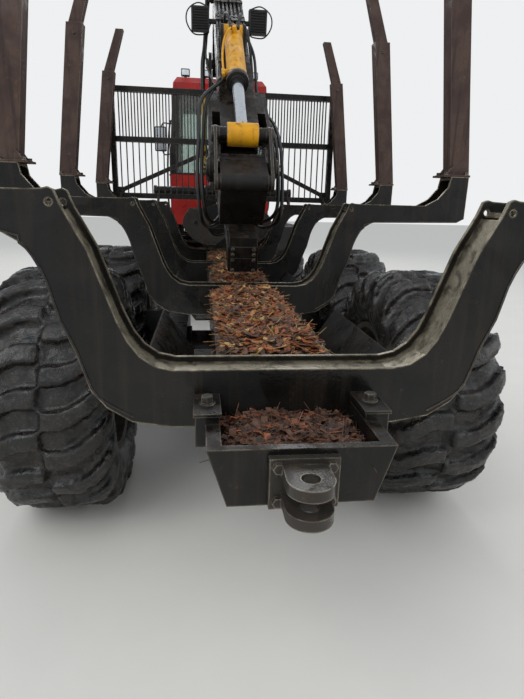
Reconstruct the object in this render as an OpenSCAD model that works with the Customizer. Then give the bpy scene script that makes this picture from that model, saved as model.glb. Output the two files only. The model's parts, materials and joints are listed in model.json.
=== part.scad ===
// Forestry forwarder: eight wheels, frame hinged in the middle, log bunks behind,
// folding crane with a timber grapple, cab and engine in front.
// Sizes are in millimetres. X runs to the right, Y forward and Z up from the ground.
// Places along the machine are measured forward from the rear face of the rear bunk.

/* [Wheels] */
// Outer radius of a tyre over its lugs
tyre_r = 665; // [600:5:690]
// Width of a tyre
tyre_w = 600; // [560:10:610]
// Radius of the rim seat
rim_r = 337; // [300:1:350]
// Height of a lug
lug_h = 34; // [20:1:45]
// Thickness of a tyre's casing
tyre_wall = 45; // [30:1:60]
// Lugs on each side of a tyre
lug_count = 18; // [14:1:22]
// From the centre line to the middle of a tyre
track_half = 975; // [970:1:1000]
// Between the two wheels of a bogie
bogie_pitch = 1500; // [1440:10:1560]

/* [Places along the machine] */
// Middle of the rear bogies
rear_bogie_y = 2150; // [2100:10:2200]
// Middle of the front bogies
front_bogie_y = 7400; // [7350:10:7500]
// Steering hinge between the frames
hinge_y = 5650; // [5600:10:5700]
// Crane column
crane_y = 5000; // [4980:5:5040]
// Load gate
gate_y = 4560; // [4540:5:4600]
// Rear wall of the cab
cab_rear_y = 6000; // [5980:10:6100]
// Front of the bumper
nose_y = 9120; // [9100:10:9200]

/* [Frames] */
// Width of the rear beam
beam_w = 400; // [360:10:420]
// Height of the beam's top above the ground
beam_top = 1170; // [1160:5:1180]
// Height of the beam's underside
beam_bottom = 862; // [840:1:880]
// Wall of the beam
beam_wall = 14; // [8:1:20]
// Radius of the steering hinge pin
hinge_pin_r = 50; // [40:1:60]
// Radius of the eyes round the hinge pin
hinge_eye_r = 150; // [130:5:160]

/* [Axles] */
// Radius of an axle tube
axle_r = 130; // [110:5:150]
// Outer face of a bogie case from the centre line
bogie_face = 505; // [480:5:520]
// Thickness of a bogie case
bogie_t = 150; // [120:5:180]
// Height of a bogie case at its middle
bogie_h = 380; // [320:10:400]
// Radius of a hub stub
hub_r = 150; // [120:5:160]

/* [Bunks] */
// Thickness of a bunk over its two plates
bunk_t = 155; // [130:5:180]
// Thickness of a bunk plate
bunk_plate = 14; // [8:1:20]
// Height of a bunk's floor
bunk_floor = 1200; // [1190:1:1215]
// Height of a bunk's wings
wing_top = 1692; // [1680:1:1710]
// Half width over the bunk ends
bunk_half = 1345; // [1320:5:1360]
// Depth of the trough between the plates
trough = 20; // [18:1:45]

/* [Stakes] */
// Centre of a stake at its foot
stake_x = 1298; // [1280:1:1310]
// Width of a stake seen from behind
stake_w = 118; // [90:1:125]
// Depth of a stake along the machine
stake_t = 96; // [70:1:120]
// Height where the lower stake ends
stake_joint = 2930; // [2800:10:3000]
// Height of a stake's tip
stake_top = 3310; // [3200:10:3400]
// Lean of the lower stake inward
stake_lean = 7; // [5:0.5:9]
// Lean of the upper stake inward
tip_lean = 18; // [14:0.5:20]

/* [Gate] */
// Half width of the gate
gate_half = 1222; // [1200:1:1240]
// Height of the gate's top
gate_top = 2850; // [2800:5:2900]
// Height of the gate's middle rail
gate_mid = 2330; // [2300:5:2360]
// Height of the gate's foot
gate_foot = 1722; // [1715:1:1740]
// Size of the gate's rails
gate_rail = 56; // [50:1:60]
// Thickness of a gate bar
gate_bar = 12; // [10:1:14]
// Spacing of the lower gate bars
bar_pitch = 66; // [60:1:72]

/* [Crane] */
// Height of the boom pivot
boom_pivot_z = 3200; // [3180:5:3220]
// Knuckle pin along the machine
knuckle_y = 1900; // [1890:1:1910]
// Height of the knuckle pin
knuckle_z = 1890; // [1885:1:1900]
// Slope of the main boom
boom_slope = 34.9; // [34.5:0.1:35.3]
// Width of the main boom
boom_w = 250; // [240:1:252]
// Depth of the main boom at its tip
boom_tip_h = 210; // [206:1:214]
// Slope of the outer boom
outer_slope = 17.6; // [17:0.1:18.2]
// Width of the outer boom
outer_w = 167; // [150:1:180]
// Depth of the outer boom
outer_h = 210; // [190:1:215]
// Half width over the knuckle bosses
knuckle_half = 210; // [204:1:215]
// Radius of the crane's main pins
crane_pin_r = 35; // [30:1:38]
// Radius of the fold cylinder
fold_r = 70; // [60:1:72]
// Radius of the fold cylinder's rod
fold_rod_r = 40; // [35:1:45]
// Radius of the lift cylinder
lift_r = 65; // [60:1:70]
// Radius of the lift cylinder's rod
lift_rod_r = 40; // [36:1:42]

/* [Grapple] */
// Boom tip pin along the machine
tip_y = 3950; // [3940:1:3960]
// Height of the jaw pivots
jaw_z = 1500; // [1495:1:1510]
// Jaw pivots from the centre line
jaw_x = 310; // [300:1:320]
// Half thickness of the grapple
grapple_half = 205; // [190:1:215]

/* [Cab] */
// Half width of the cab
cab_half = 680; // [660:5:700]
// Height of the cab floor's underside
cab_bottom = 1400; // [1380:5:1420]
// Height of the cab roof
cab_top = 3300; // [3250:10:3350]
// Front of the cab at its foot
cab_front_y = 7700; // [7680:5:7710]
// Thickness of the cab's walls
cab_wall = 45; // [40:1:60]
// Gap round a door
door_gap = 6; // [5:1:10]

/* [Hood] */
// Half width of the hood
hood_half = 560; // [540:5:600]
// Height of the hood at the cab
hood_top = 2150; // [2100:10:2200]
// Height of the hood at the nose
hood_nose = 1960; // [1900:10:2000]
// Wall of the hood
hood_wall = 20; // [12:1:30]

/* [Hitch] */
// Hitch pin hole, from the rear bunk
hitch_y = -388; // [-395:1:-380]
// Radius of the hitch pin hole
hitch_hole_r = 23; // [18:0.5:28]
// Height of the hitch
hitch_z = 1010; // [1000:1:1020]
// Half width of a hitch lug
hitch_half = 58; // [50:1:62]
// Thickness of a hitch lug
lug_t = 30; // [20:1:34]

/* [Hidden] */
$fn = 48;
fit = 0.05;   // radial clearance of a pin in its bore
seat = 0.3;   // clearance where one piece sits on another
part_gap = 6; // clearance between pieces that move past each other
tail_y = hitch_y - hitch_half;
mid_y = (nose_y + tail_y) / 2;
axle_z = tyre_r;

// Rear faces of the bunks
BUNKS = [0, 1630, 2900, 4300];
post_x = 235; // middle of the posts behind the rear bunk

// Half outline of a bunk's upper edge, from the centre out: [x, z]
BUNK_FLOOR = [
    [0, bunk_floor], [330, bunk_floor], [382, bunk_floor + 12], [424, bunk_floor + 42],
    [456, bunk_floor + 86], [482, bunk_floor + 144], [550, bunk_floor + 340],
    [608, bunk_floor + 450]];
KNEE = [[624, wing_top], [638, wing_top + 6], [654, wing_top + 2], [690, wing_top]];
WING = [[1090, wing_top], [1165, wing_top + 40], [1225, wing_top + 110], [1236, wing_top + 170]];
// Half outline of its underside, from the end inward
BUNK_UNDER = [
    [bunk_half, wing_top - 72], [1300, wing_top - 96], [770, wing_top - 106],
    [712, wing_top - 140], [687, wing_top - 174], [660, wing_top - 245], [637, wing_top - 340],
    [600, 1255], [565, 1140], [524, 1088], [453, 1042], [340, 1023], [0, 1018]];
bunk_end_top = wing_top + 170;

// Plates beside the beam, one behind each of these bunks: [bunk, length]
GUARDS = [[0, 900], [1, 900], [2, 560]];

// Axles from the rear, along the machine
AXLES = [
    rear_bogie_y - bogie_pitch / 2, rear_bogie_y + bogie_pitch / 2,
    front_bogie_y - bogie_pitch / 2, front_bogie_y + bogie_pitch / 2];

steel = [0.16, 0.15, 0.15];
worn = [0.30, 0.28, 0.26];
rust = [0.34, 0.24, 0.18];
yellow = [0.86, 0.62, 0.08];
chrome = [0.75, 0.78, 0.80];
red = [0.62, 0.08, 0.07];
black = [0.08, 0.08, 0.09];

// Puts the middle of the machine's length over the origin
module placed() {
    translate([0, -mid_y, 0]) children();
}

module both_sides() {
    children();
    mirror([1, 0, 0]) children();
}

// Box between two corners
module block(low, high) {
    translate(low) cube(high - low);
}

// Plate whose outline is [y, z], from x to x + t
module side_plate(x, t) {
    translate([x, 0, 0]) rotate([90, 0, 90]) linear_extrude(t) children();
}

// Plate whose outline is [x, z], from y to y + t
module cross_plate(y, t) {
    translate([0, y + t, 0]) rotate([90, 0, 0]) linear_extrude(t) children();
}

// Flat plate whose outline is [x, y], from z to z + t
module flat_plate(z, t) {
    translate([0, 0, z]) linear_extrude(t) children();
}

// Round bar along X about a point [y, z]
module cross_bar(at, r, x0, x1) {
    translate([x0, at[0], at[1]]) rotate([0, 90, 0]) cylinder(r = r, h = x1 - x0);
}

// Round bar along Y
module long_bar(x, z, r, y0, y1) {
    translate([x, y0, z]) rotate([-90, 0, 0]) cylinder(r = r, h = y1 - y0);
}

// Outline of a link with round ends between two points; waist is its width between them, of w
module link_2d(a, b, w, waist = 1) {
    translate(a) circle(d = w);
    translate(b) circle(d = w);
    translate(a) rotate(atan2(b[1] - a[1], b[0] - a[0]))
        translate([0, -w * waist / 2]) square([norm(b - a), w * waist]);
}

// Round bar in the plane x = at, from [y, z] a to b
module slant_bar(x, a, b, r) {
    translate([x, a[0], a[1]]) rotate([atan2(b[1] - a[1], b[0] - a[0]) - 90, 0, 0])
        cylinder(r = r, h = norm(b - a));
}

// Points of a curve moved sideways by d, to the right of its run
function beside(points, d) = [
    for (i = [0 : len(points) - 1])
        let (a = points[max(i - 1, 0)],
             b = points[min(i + 1, len(points) - 1)],
             t = (b - a) / norm(b - a))
        points[i] + d * [t[1], -t[0]]];

function reversed(points) = [for (i = [len(points) - 1 : -1 : 0]) points[i]];

// Point on the line from a toward b at distance d
function along(a, b, d) = a + d * (b - a) / norm(b - a);

/* Frames and axles */

// Front part of the rear frame, in plan: narrows to the hinge eye
module neck_2d() {
    translate([0, hinge_y]) circle(r = hinge_eye_r);
    polygon([[-180, hinge_y - 460], [180, hinge_y - 460], [140, hinge_y], [-140, hinge_y]]);
}

module rear_frame() {
    neck_low = beam_bottom - 40;
    neck_h = 200;
    color(steel) placed() {
        difference() {
            union() {
                block([-beam_w / 2, bunk_plate + seat, beam_bottom], [beam_w / 2, crane_y + 250, beam_top]);
                flat_plate(neck_low, neck_h) neck_2d();
                // gussets from the beam to the neck
                both_sides() side_plate(120, 20)
                    polygon([[crane_y + 250, beam_top], [hinge_y - 240, neck_low + neck_h],
                             [crane_y + 250, neck_low + neck_h]]);
                // lugs above and below each steering cylinder's foot
                both_sides() for (z = [steer_z - steer_eye - lug_plate, steer_z + steer_eye])
                    flat_plate(z, lug_plate) {
                        translate([steer_rear_x, steer_rear_y]) circle(r = 46);
                        polygon([[beam_w / 2 - 1, steer_rear_y - 140], [beam_w / 2 - 1, steer_rear_y + 46],
                                 [steer_rear_x, steer_rear_y + 46], [steer_rear_x, steer_rear_y - 46]]);
                    }
            }
            translate([0, hinge_y, 0]) cylinder(r = hinge_pin_r + fit, h = 2000);
            // hollow of the beam, open at the rear
            block([-beam_w / 2 + beam_wall, bunk_plate - 1, beam_bottom + beam_wall],
                  [beam_w / 2 - beam_wall, crane_y - 260, beam_top - beam_wall]);
        }
        both_sides() {
            translate([steer_rear_x, steer_rear_y, steer_z - steer_eye - lug_plate])
                cylinder(r = steer_pin_r, h = 2 * (steer_eye + lug_plate));
            // upturned guard plates beside the beam
            for (guard = GUARDS)
                cross_plate(BUNKS[guard[0]] + bunk_t + 60, guard[1]) polygon([
                    [beam_w / 2, beam_top - 232], [beam_w / 2 + 95, beam_top - 232],
                    [beam_w / 2 + 245, beam_top - 20], [beam_w / 2 + 236, beam_top - 12],
                    [beam_w / 2 + 90, beam_top - 220], [beam_w / 2, beam_top - 220]]);
        }
    }
}

// Bogie case seen from the side, middle at [0, 0]
module bogie_2d() {
    end = bogie_h * 0.36;
    for (s = [-1, 1]) translate([s * bogie_pitch / 2, 0]) circle(r = end);
    polygon([
        [-bogie_pitch / 2, end], [-bogie_h * 0.6, bogie_h / 2], [bogie_h * 0.6, bogie_h / 2],
        [bogie_pitch / 2, end], [bogie_pitch / 2, -end], [bogie_h * 0.6, -bogie_h / 2],
        [-bogie_h * 0.6, -bogie_h / 2], [-bogie_pitch / 2, -end]]);
}

// Axle tube, differential, two bogie cases and four hub stubs
module bogie_axle(y) {
    reach = track_half + rim_disc_x - seat;
    color(steel) placed() {
        cross_bar([y, axle_z], axle_r, -bogie_face + bogie_t / 2, bogie_face - bogie_t / 2);
        cross_bar([y, axle_z], axle_r * 1.45, -110, 110);
        both_sides() {
            side_plate(bogie_face - bogie_t, bogie_t)
                translate([y, axle_z]) bogie_2d();
            cross_bar([y, axle_z], axle_r * 1.25, bogie_face - bogie_t - 30, bogie_face + 25);
            for (s = [-1, 1])
                cross_bar([y + s * bogie_pitch / 2, axle_z], hub_r, bogie_face - 10, reach);
            // saddle that carries the beam
            side_plate(beam_w / 2 - 70, 60) polygon([
                [y - 220, beam_bottom - seat], [y + 220, beam_bottom - seat],
                [y + 120, axle_z + 40], [y - 120, axle_z + 40]]);
        }
    }
}

module rear_axle() {
    bogie_axle(rear_bogie_y);
}

module front_axle() {
    bogie_axle(front_bogie_y);
}

/* Wheels */

rim_disc_x = 70; // rim's disc from the middle of the tyre, outward
rim_half = 250;

// Half section of a tyre, open towards the rim: [radius, distance from its middle]
module tyre_half_2d() {
    carcass = tyre_r - lug_h;
    half = tyre_w / 2;
    side = half - 12;
    polygon([
        [rim_r, rim_half - 70], [rim_r, rim_half - 40], [rim_r + 24, rim_half - 10],
        [rim_r + 110, half], [carcass - 110, half], [carcass - 30, side - 30],
        [carcass, side - 110], [carcass, 0], [carcass - tyre_wall, 0],
        [carcass - tyre_wall, side - 120], [carcass - 100, half - tyre_wall],
        [rim_r + 110, half - tyre_wall], [rim_r + 50, rim_half - 70]]);
}

module tyre_2d() {
    tyre_half_2d();
    mirror([0, 1]) tyre_half_2d();
}

// One slanting lug from the middle of the tread over the shoulder
module lug(side) {
    rise = tyre_r - lug_h - tyre_wall / 2;
    for (part = [[0, tyre_w * 0.26, 30], [tyre_w * 0.22, tyre_w * 0.49, 14]])
        rotate([0, 0, part[0] > 0 ? side * 9.5 : 0])
            translate([rise, -27, side > 0 ? part[0] : -part[1]])
                rotate([side * part[2] * 0.6, 0, 0])
                    cube([tyre_r - rise + (part[0] > 0 ? -8 : 8), 54, part[1] - part[0]]);
}

module tyre(axle, side) {
    color(black) placed() translate([side * track_half, AXLES[axle], axle_z])
        rotate([0, side * 90, 0]) {
            rotate_extrude($fn = 96) tyre_2d();
            intersection() {
                union() for (i = [0 : lug_count - 1]) for (s = [-1, 1])
                    rotate([0, 0, (i + (s > 0 ? 0.5 : 0)) * 360 / lug_count]) lug(s);
                cylinder(r = tyre_r, h = tyre_w, center = true, $fn = 96);
            }
        }
}

// Section of a rim's well and flanges
module rim_2d() {
    polygon([
        [rim_r - 24, -rim_half + 52], [rim_r - 12, -rim_half + 40],
        [rim_r - 12, -rim_half], [rim_r + 20, -rim_half - 8], [rim_r + 22, -rim_half + 8],
        [rim_r - seat, -rim_half + 22], [rim_r - seat, rim_half - 22],
        [rim_r + 22, rim_half - 8], [rim_r + 20, rim_half + 8], [rim_r - 12, rim_half],
        [rim_r - 12, rim_half - 40], [rim_r - 24, rim_half - 52]]);
}

module rim(axle, side) {
    color(worn) placed() translate([side * track_half, AXLES[axle], axle_z])
        rotate([0, side * 90, 0]) difference() {
            union() {
                rotate_extrude($fn = 96) rim_2d();
                // dished disc and hub cap
                translate([0, 0, rim_disc_x]) cylinder(r = rim_r - 18, h = 18);
                translate([0, 0, rim_disc_x]) cylinder(r = 150, h = 60);
                translate([0, 0, rim_disc_x]) cylinder(r = 95, h = 120);
                for (i = [0 : 11]) rotate([0, 0, i * 30])
                    translate([122, 0, rim_disc_x]) cylinder(r = 14, h = 78, $fn = 6);
            }
            // hand holes in the disc
            for (i = [0 : 5]) rotate([0, 0, i * 60 + 15])
                translate([228, 0, rim_disc_x - 5]) cylinder(r = 42, h = 40);
        }
}

module tyre_1_left() { tyre(0, -1); }
module tyre_1_right() { tyre(0, 1); }
module tyre_2_left() { tyre(1, -1); }
module tyre_2_right() { tyre(1, 1); }
module tyre_3_left() { tyre(2, -1); }
module tyre_3_right() { tyre(2, 1); }
module tyre_4_left() { tyre(3, -1); }
module tyre_4_right() { tyre(3, 1); }
module rim_1_left() { rim(0, -1); }
module rim_1_right() { rim(0, 1); }
module rim_2_left() { rim(1, -1); }
module rim_2_right() { rim(1, 1); }
module rim_3_left() { rim(2, -1); }
module rim_3_right() { rim(2, 1); }
module rim_4_left() { rim(3, -1); }
module rim_4_right() { rim(3, 1); }

/* Load bunks, stakes and gate */

module half_bunk_2d() {
    polygon(concat(BUNK_FLOOR, KNEE, WING, [[bunk_half, bunk_end_top]], BUNK_UNDER));
}

module bunk() {
    floor_web = concat(beside(BUNK_FLOOR, trough), reversed(beside(BUNK_FLOOR, trough + 14)));
    under = [for (i = [3 : len(BUNK_UNDER) - 1]) BUNK_UNDER[i]];
    under_web = concat(beside(under, 8), reversed(beside(under, 22)));
    inner = bunk_t - 2 * bunk_plate;
    both_sides() {
        for (y = [0, bunk_t - bunk_plate]) difference() {
            cross_plate(y, bunk_plate) half_bunk_2d();
            translate([638, y - 1, wing_top - 32]) rotate([-90, 0, 0]) cylinder(r = 9, h = 40);
        }
        cross_plate(bunk_plate, inner) polygon(floor_web);
        cross_plate(bunk_plate, inner) polygon(under_web);
        // web of the wing, its closed end and the pad under the stake's collar
        block([640, bunk_plate, wing_top - 46], [bunk_half - 8, bunk_t - bunk_plate, wing_top - 32]);
        block([bunk_half - 14, bunk_plate, wing_top - 32],
              [bunk_half, bunk_t - bunk_plate, bunk_end_top]);
        block([1236, bunk_plate, bunk_end_top - 16], [bunk_half - 14, bunk_t - bunk_plate, bunk_end_top]);
    }
}

module bunks() {
    color(steel) placed() for (y = BUNKS) difference() {
        translate([0, y, 0]) bunk();
        // notch over the beam, which ends inside the rear bunk
        block([-beam_w / 2 - seat, y == 0 ? bunk_plate : y - 1, 1000],
              [beam_w / 2 + seat, y + bunk_t + 1, beam_top + seat]);
    }
}

// Lower stake, then the narrower bar that stands in it
module stake() {
    foot = bunk_end_top + 12;
    lean = tan(stake_lean);
    low = [stake_x, foot];
    joint = [stake_x - (stake_joint - foot) * lean, stake_joint];
    tip = [joint[0] - (stake_top - stake_joint) * tan(tip_lean), stake_top];
    w = stake_w / 2;
    cross_plate(-stake_t / 2, stake_t) polygon([
        low + [-w, 0], low + [w, 0], joint + [w, 0], joint + [-w, 0]]);
    cross_plate(-stake_t / 2 + 12, stake_t - 24) polygon([
        joint + [-w + 10, -40], joint + [w - 10, -40], joint + [w - 14, 0],
        tip + [w - 24, 0], tip + [-w + 22, 0], joint + [-w + 14, 0]]);
    // collar plate and its gussets
    block([stake_x - 112, -bunk_t / 2, bunk_end_top + seat], [bunk_half + 6, bunk_t / 2, foot]);
    for (y = [-bunk_t / 2 + 20, bunk_t / 2 - 32]) cross_plate(y, 12) polygon([
        [stake_x - w - 44, foot], [stake_x - w + 20, foot], [stake_x - w + 12, foot + 62],
        [stake_x - w - 16, foot + 20]]);
}

module stakes() {
    color(rust) placed() for (y = BUNKS) translate([0, y + bunk_t / 2, 0]) both_sides() stake();
}

module gate() {
    rail = gate_rail;
    bar_y = (rail - gate_bar) / 2;
    inner = gate_half - rail;
    lower = floor(inner / bar_pitch);
    upper = 2 * lower;
    color(steel) placed() translate([0, gate_y, 0]) {
        // rails [foot height] and uprights
        for (z = [gate_foot, gate_mid - rail / 2, gate_top - rail])
            block([-gate_half, 0, z], [gate_half, rail, z + rail]);
        both_sides() {
            block([inner, 0, gate_foot], [gate_half, rail, gate_top]);
            // brace from the foot up to the middle rail
            cross_plate(rail - 26, 14) polygon([
                [inner - 10, gate_foot + rail - 10], [inner - 10, gate_foot + rail + 40],
                [60, gate_mid - rail / 2 + 10], [60, gate_mid - rail / 2 - 40]]);
            // feet on the foremost bunk
            for (x = [0.59, 0.92] * gate_half) side_plate(x, 20) polygon([
                [BUNKS[3] + bunk_t + seat - gate_y, wing_top - 90],
                [BUNKS[3] + bunk_t + seat - gate_y, wing_top - 6],
                [0, gate_foot + rail], [rail - 8, gate_foot + 4], [rail - 8, gate_foot]]);
        }
        for (i = [-lower : lower])
            translate([i * bar_pitch - gate_bar / 2, bar_y, gate_foot + rail - 1])
                cube([gate_bar, gate_bar, gate_mid - gate_foot - 1.5 * rail + 2]);
        for (i = [-upper : upper])
            translate([i * bar_pitch / 2 - gate_bar / 2, bar_y, gate_mid + rail / 2 - 1])
                cube([gate_bar, gate_bar, gate_top - gate_mid - 1.5 * rail + 2]);
    }
}

/* Tail */

module rear_bumper() {
    color(steel) placed() {
        // tapered box behind the rear bunk, open at its top
        difference() {
            cross_plate(-300, 300 - seat) polygon([
                [-190, hitch_z - 70], [190, hitch_z - 70],
                [240, hitch_z + 85], [-240, hitch_z + 85]]);
            block([-post_x + 34, -276, hitch_z + 30], [post_x - 34, 1, hitch_z + 100]);
        }
        // posts beside the rear bunk's foot
        both_sides() {
            block([post_x - 33, -150, hitch_z + 20], [post_x + 33, -seat, hitch_z + 108]);
            block([post_x - 38, -156, hitch_z + 108], [post_x + 38, -seat, hitch_z + 117]);
        }
    }
}

module tow_clevis() {
    face = -300 - seat;
    color(worn) placed() difference() {
        union() {
            block([-88, face - 22, hitch_z - 68], [88, face, hitch_z + 68]);
            for (z = [hitch_z + 22, hitch_z - 22 - lug_t]) {
                flat_plate(z, lug_t) {
                    translate([0, hitch_y]) circle(r = hitch_half);
                    translate([-hitch_half, hitch_y]) square([2 * hitch_half, face - hitch_y - 1]);
                }
            }
            for (x = [-66, 66]) for (z = [-46, 46])
                translate([x, face - 22, hitch_z + z]) rotate([90, 0, 0]) cylinder(r = 15, h = 12, $fn = 6);
        }
        translate([0, hitch_y, hitch_z - 200]) cylinder(r = hitch_hole_r, h = 400);
    }
}

/* Crane */

boom_pivot = [crane_y, boom_pivot_z];
knuckle = [knuckle_y, knuckle_z];

// Point on the main boom: s up its slope from the knuckle pin, n square to it
function boom_at(s, n) = knuckle + s * [cos(boom_slope), sin(boom_slope)]
    + n * [-sin(boom_slope), cos(boom_slope)];

// Point on the outer boom: s along it from under the knuckle pin, n above its middle
outer_drop = 430;
function outer_at(s, n) = knuckle + s * [cos(outer_slope), sin(outer_slope)]
    + (n - outer_drop) * [-sin(outer_slope), cos(outer_slope)];

rocker_pin = boom_at(360, -20);
fold_eye = boom_at(109, 156);
fold_eye_half = 95;
fold_root = boom_at(1560, 215);
link_pin = boom_at(-217, 38);
tip_pin = [tip_y, outer_at((tip_y - knuckle_y - outer_drop * sin(outer_slope))
    / cos(outer_slope), 0)[1]];
lift_foot = [crane_y - 200, 2200];
lift_eye = boom_pivot + [-360, -10];
lift_ear_r = 58;
lift_eye_half = 47.5;
slew_z = 1812;

// Clearances across the knuckle, from the centre line outward
bracket_half = 139;
rocker_in = bracket_half + 3;
rocker_out = rocker_in + 14;
link_in = rocker_out + seat;
link_out = link_in + 18;
cheek_in = link_out + 4;

module slew_base() {
    color(steel) placed() {
        difference() {
            union() {
                // pedestal on the beam
                side_plate(-230, 460) polygon([
                    [crane_y - 250, beam_top + seat], [crane_y + 250, beam_top + seat],
                    [crane_y + 215, slew_z - 60], [crane_y - 215, slew_z - 60]]);
                // rack cylinders across the machine
                for (y = [crane_y - 150, crane_y + 150]) translate([0, y, slew_z])
                    rotate([0, 90, 0]) cylinder(r = 55, h = 1600, center = true);
                for (y = [crane_y - 150, crane_y + 150], x = [-800, -300, 300, 770])
                    translate([x, y, slew_z]) rotate([0, 90, 0]) cylinder(r = 64, h = 30);
                translate([0, crane_y, slew_z - 70]) cylinder(r = 225, h = 150);
            }
            translate([0, crane_y, slew_z + 20]) cylinder(r = 170 + seat, h = 200);
        }
    }
}

module column() {
    foot_z = slew_z + 20 + seat;
    color(black) placed() {
        translate([0, crane_y, foot_z]) cylinder(r = 170, h = 290);
        difference() {
            union() {
                // fabricated post and its two cheeks
                side_plate(-140, 280) polygon([
                    [crane_y - 150, foot_z + 250], [crane_y + 150, foot_z + 250],
                    [crane_y + 130, boom_pivot_z - 210], [crane_y - 130, boom_pivot_z - 210]]);
                both_sides() side_plate(boom_w / 2 + part_gap, 36) {
                    translate(boom_pivot) circle(r = 120);
                    polygon([
                        [crane_y - 130, boom_pivot_z - 420], [crane_y + 130, boom_pivot_z - 420],
                        [crane_y + 120, boom_pivot_z], [crane_y - 120, boom_pivot_z]]);
                }
            }
            // trough up the rear of the post, in which the lift cylinder swings
            side_plate(-lift_r - 19, 2 * (lift_r + 19)) polygon([
                [crane_y - 260, lift_foot[1] - 90], [crane_y - 115, lift_foot[1] - 90],
                [crane_y - 40, boom_pivot_z - 150], [crane_y - 260, boom_pivot_z - 150]]);
        }
        // ears for the lift cylinder's foot
        both_sides() side_plate(lift_eye_half + 0.5, 30) {
            translate(lift_foot) circle(r = lift_ear_r);
            polygon([
                [crane_y - 90, lift_foot[1] - 110], [lift_foot[0], lift_foot[1] - lift_ear_r],
                [lift_foot[0], lift_foot[1] + lift_ear_r], [crane_y - 90, lift_foot[1] + lift_ear_r]]);
        }
        // pins
        cross_bar(boom_pivot, crane_pin_r + 10, -boom_w / 2 - 50, boom_w / 2 + 50);
        cross_bar(lift_foot, crane_pin_r, -84, 84);
    }
}

// Side outline of the main boom from behind the knuckle to the pivot
module boom_2d() {
    low = boom_tip_h / 2;
    high = low * 1.32;
    top = low - 17;
    root = 130;
    slant = root * sin(45);
    polygon([
        boom_at(320, -low), boom_at(2500, -high),
        boom_at(2945, -high), boom_at(3060, -high + 15),
        boom_pivot + [-slant, -slant], boom_pivot + [slant, slant],
        boom_pivot + [slant - 440, slant + 440], boom_pivot + [slant - 520, slant + 490],
        boom_pivot + [slant - 610, slant + 500],
        boom_at(3050, high), boom_at(2500, high), boom_at(320, top)]);
    translate(boom_pivot) circle(r = root);
}

pipe_r = 11;
pipe_n = boom_tip_h * 0.66 + pipe_r; // middle of the pipes above the boom's middle

// Pipes along the boom's top: [x, lowest place on the boom]
PIPES = [[-112, 900], [-88, 900], [-52, 1900], [-18, 1900], [18, 1900], [52, 1900],
         [88, 1900], [112, 1900]];
// Their clamps: [place on the boom, width]
CLAMPS = [[1150, 44], [2000, boom_w], [2450, boom_w], [2880, boom_w]];

module main_boom() {
    half = boom_w / 2;
    color(steel) placed() difference() {
        union() {
            difference() {
                side_plate(-half, boom_w) boom_2d();
                // mouth at the tip, open like the plates it is made of
                side_plate(-half + 16, boom_w - 32) polygon([
                    boom_at(300, -boom_tip_h / 2 + 16), boom_at(900, -boom_tip_h / 2 + 16),
                    boom_at(900, boom_tip_h / 2 - 33), boom_at(300, boom_tip_h / 2 - 33)]);
                // room under the root for the lift cylinder's rod when the boom is up
                side_plate(-80, 160) polygon([
                    boom_pivot + [-200, 20], boom_pivot + [-100, -38], boom_pivot + [0, -54],
                    boom_pivot + [200, -108], boom_pivot + [200, -300], boom_pivot + [-200, -300]]);
            }
            both_sides() {
                // cheeks that carry the knuckle pin
                side_plate(cheek_in, knuckle_half - cheek_in - 8)
                    polygon([
                        boom_at(0, -88), boom_at(820, -boom_tip_h / 2 + 10),
                        boom_at(820, boom_tip_h / 2 - 10), boom_at(0, 88)]);
                side_plate(cheek_in, knuckle_half - cheek_in - 8) translate(knuckle) circle(r = 88);
                side_plate(half, cheek_in - half)
                    polygon([
                        boom_at(520, -boom_tip_h / 2 + 10), boom_at(820, -boom_tip_h / 2 + 10),
                        boom_at(820, boom_tip_h / 2 - 10), boom_at(520, boom_tip_h / 2 - 10)]);
                // bosses over the pin's ends
                cross_bar(knuckle, 62, knuckle_half - 10, knuckle_half);
                // brackets of the fold cylinder
                side_plate(fold_r + 4.5, 26) {
                    translate(fold_root) circle(r = 62);
                    polygon([
                        boom_at(1430, 90), fold_root + [-60, 0], fold_root + [0, 60],
                        fold_root + [56, 20], boom_at(1760, 90)]);
                }
                // ears beside the lift rod's eye, with the ends of its pin
                side_plate(lift_eye_half + 0.5, 30) {
                    translate(lift_eye) circle(r = lift_ear_r);
                    polygon([lift_eye + [-56, 10], lift_eye + [56, -10],
                             boom_pivot + [-190, 60], boom_pivot + [-330, 200]]);
                }
                cross_bar(lift_eye, crane_pin_r, lift_eye_half + 20, lift_eye_half + 36);
            }
            for (p = PIPES) slant_bar(p[0], boom_at(p[1], pipe_n), boom_at(2980, pipe_n), pipe_r);
            for (c = CLAMPS) side_plate(-half, c[1]) polygon([
                boom_at(c[0], 80), boom_at(c[0] + 46, 80),
                boom_at(c[0] + 46, pipe_n + 17), boom_at(c[0], pipe_n + 17)]);
        }
        cross_bar(boom_pivot, crane_pin_r + 10 + fit, -400, 400);
        cross_bar(knuckle, crane_pin_r, -400, 400);
        cross_bar(rocker_pin, 25, -400, 400);
        cross_bar(fold_root, 25, -400, 400);
    }
    color(chrome) placed() {
        cross_bar(knuckle, crane_pin_r, -knuckle_half - 4, knuckle_half + 4);
        cross_bar(rocker_pin, 25, -rocker_out, rocker_out);
        cross_bar(fold_root, 25, -fold_r - 38, fold_r + 38);
    }
}

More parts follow.
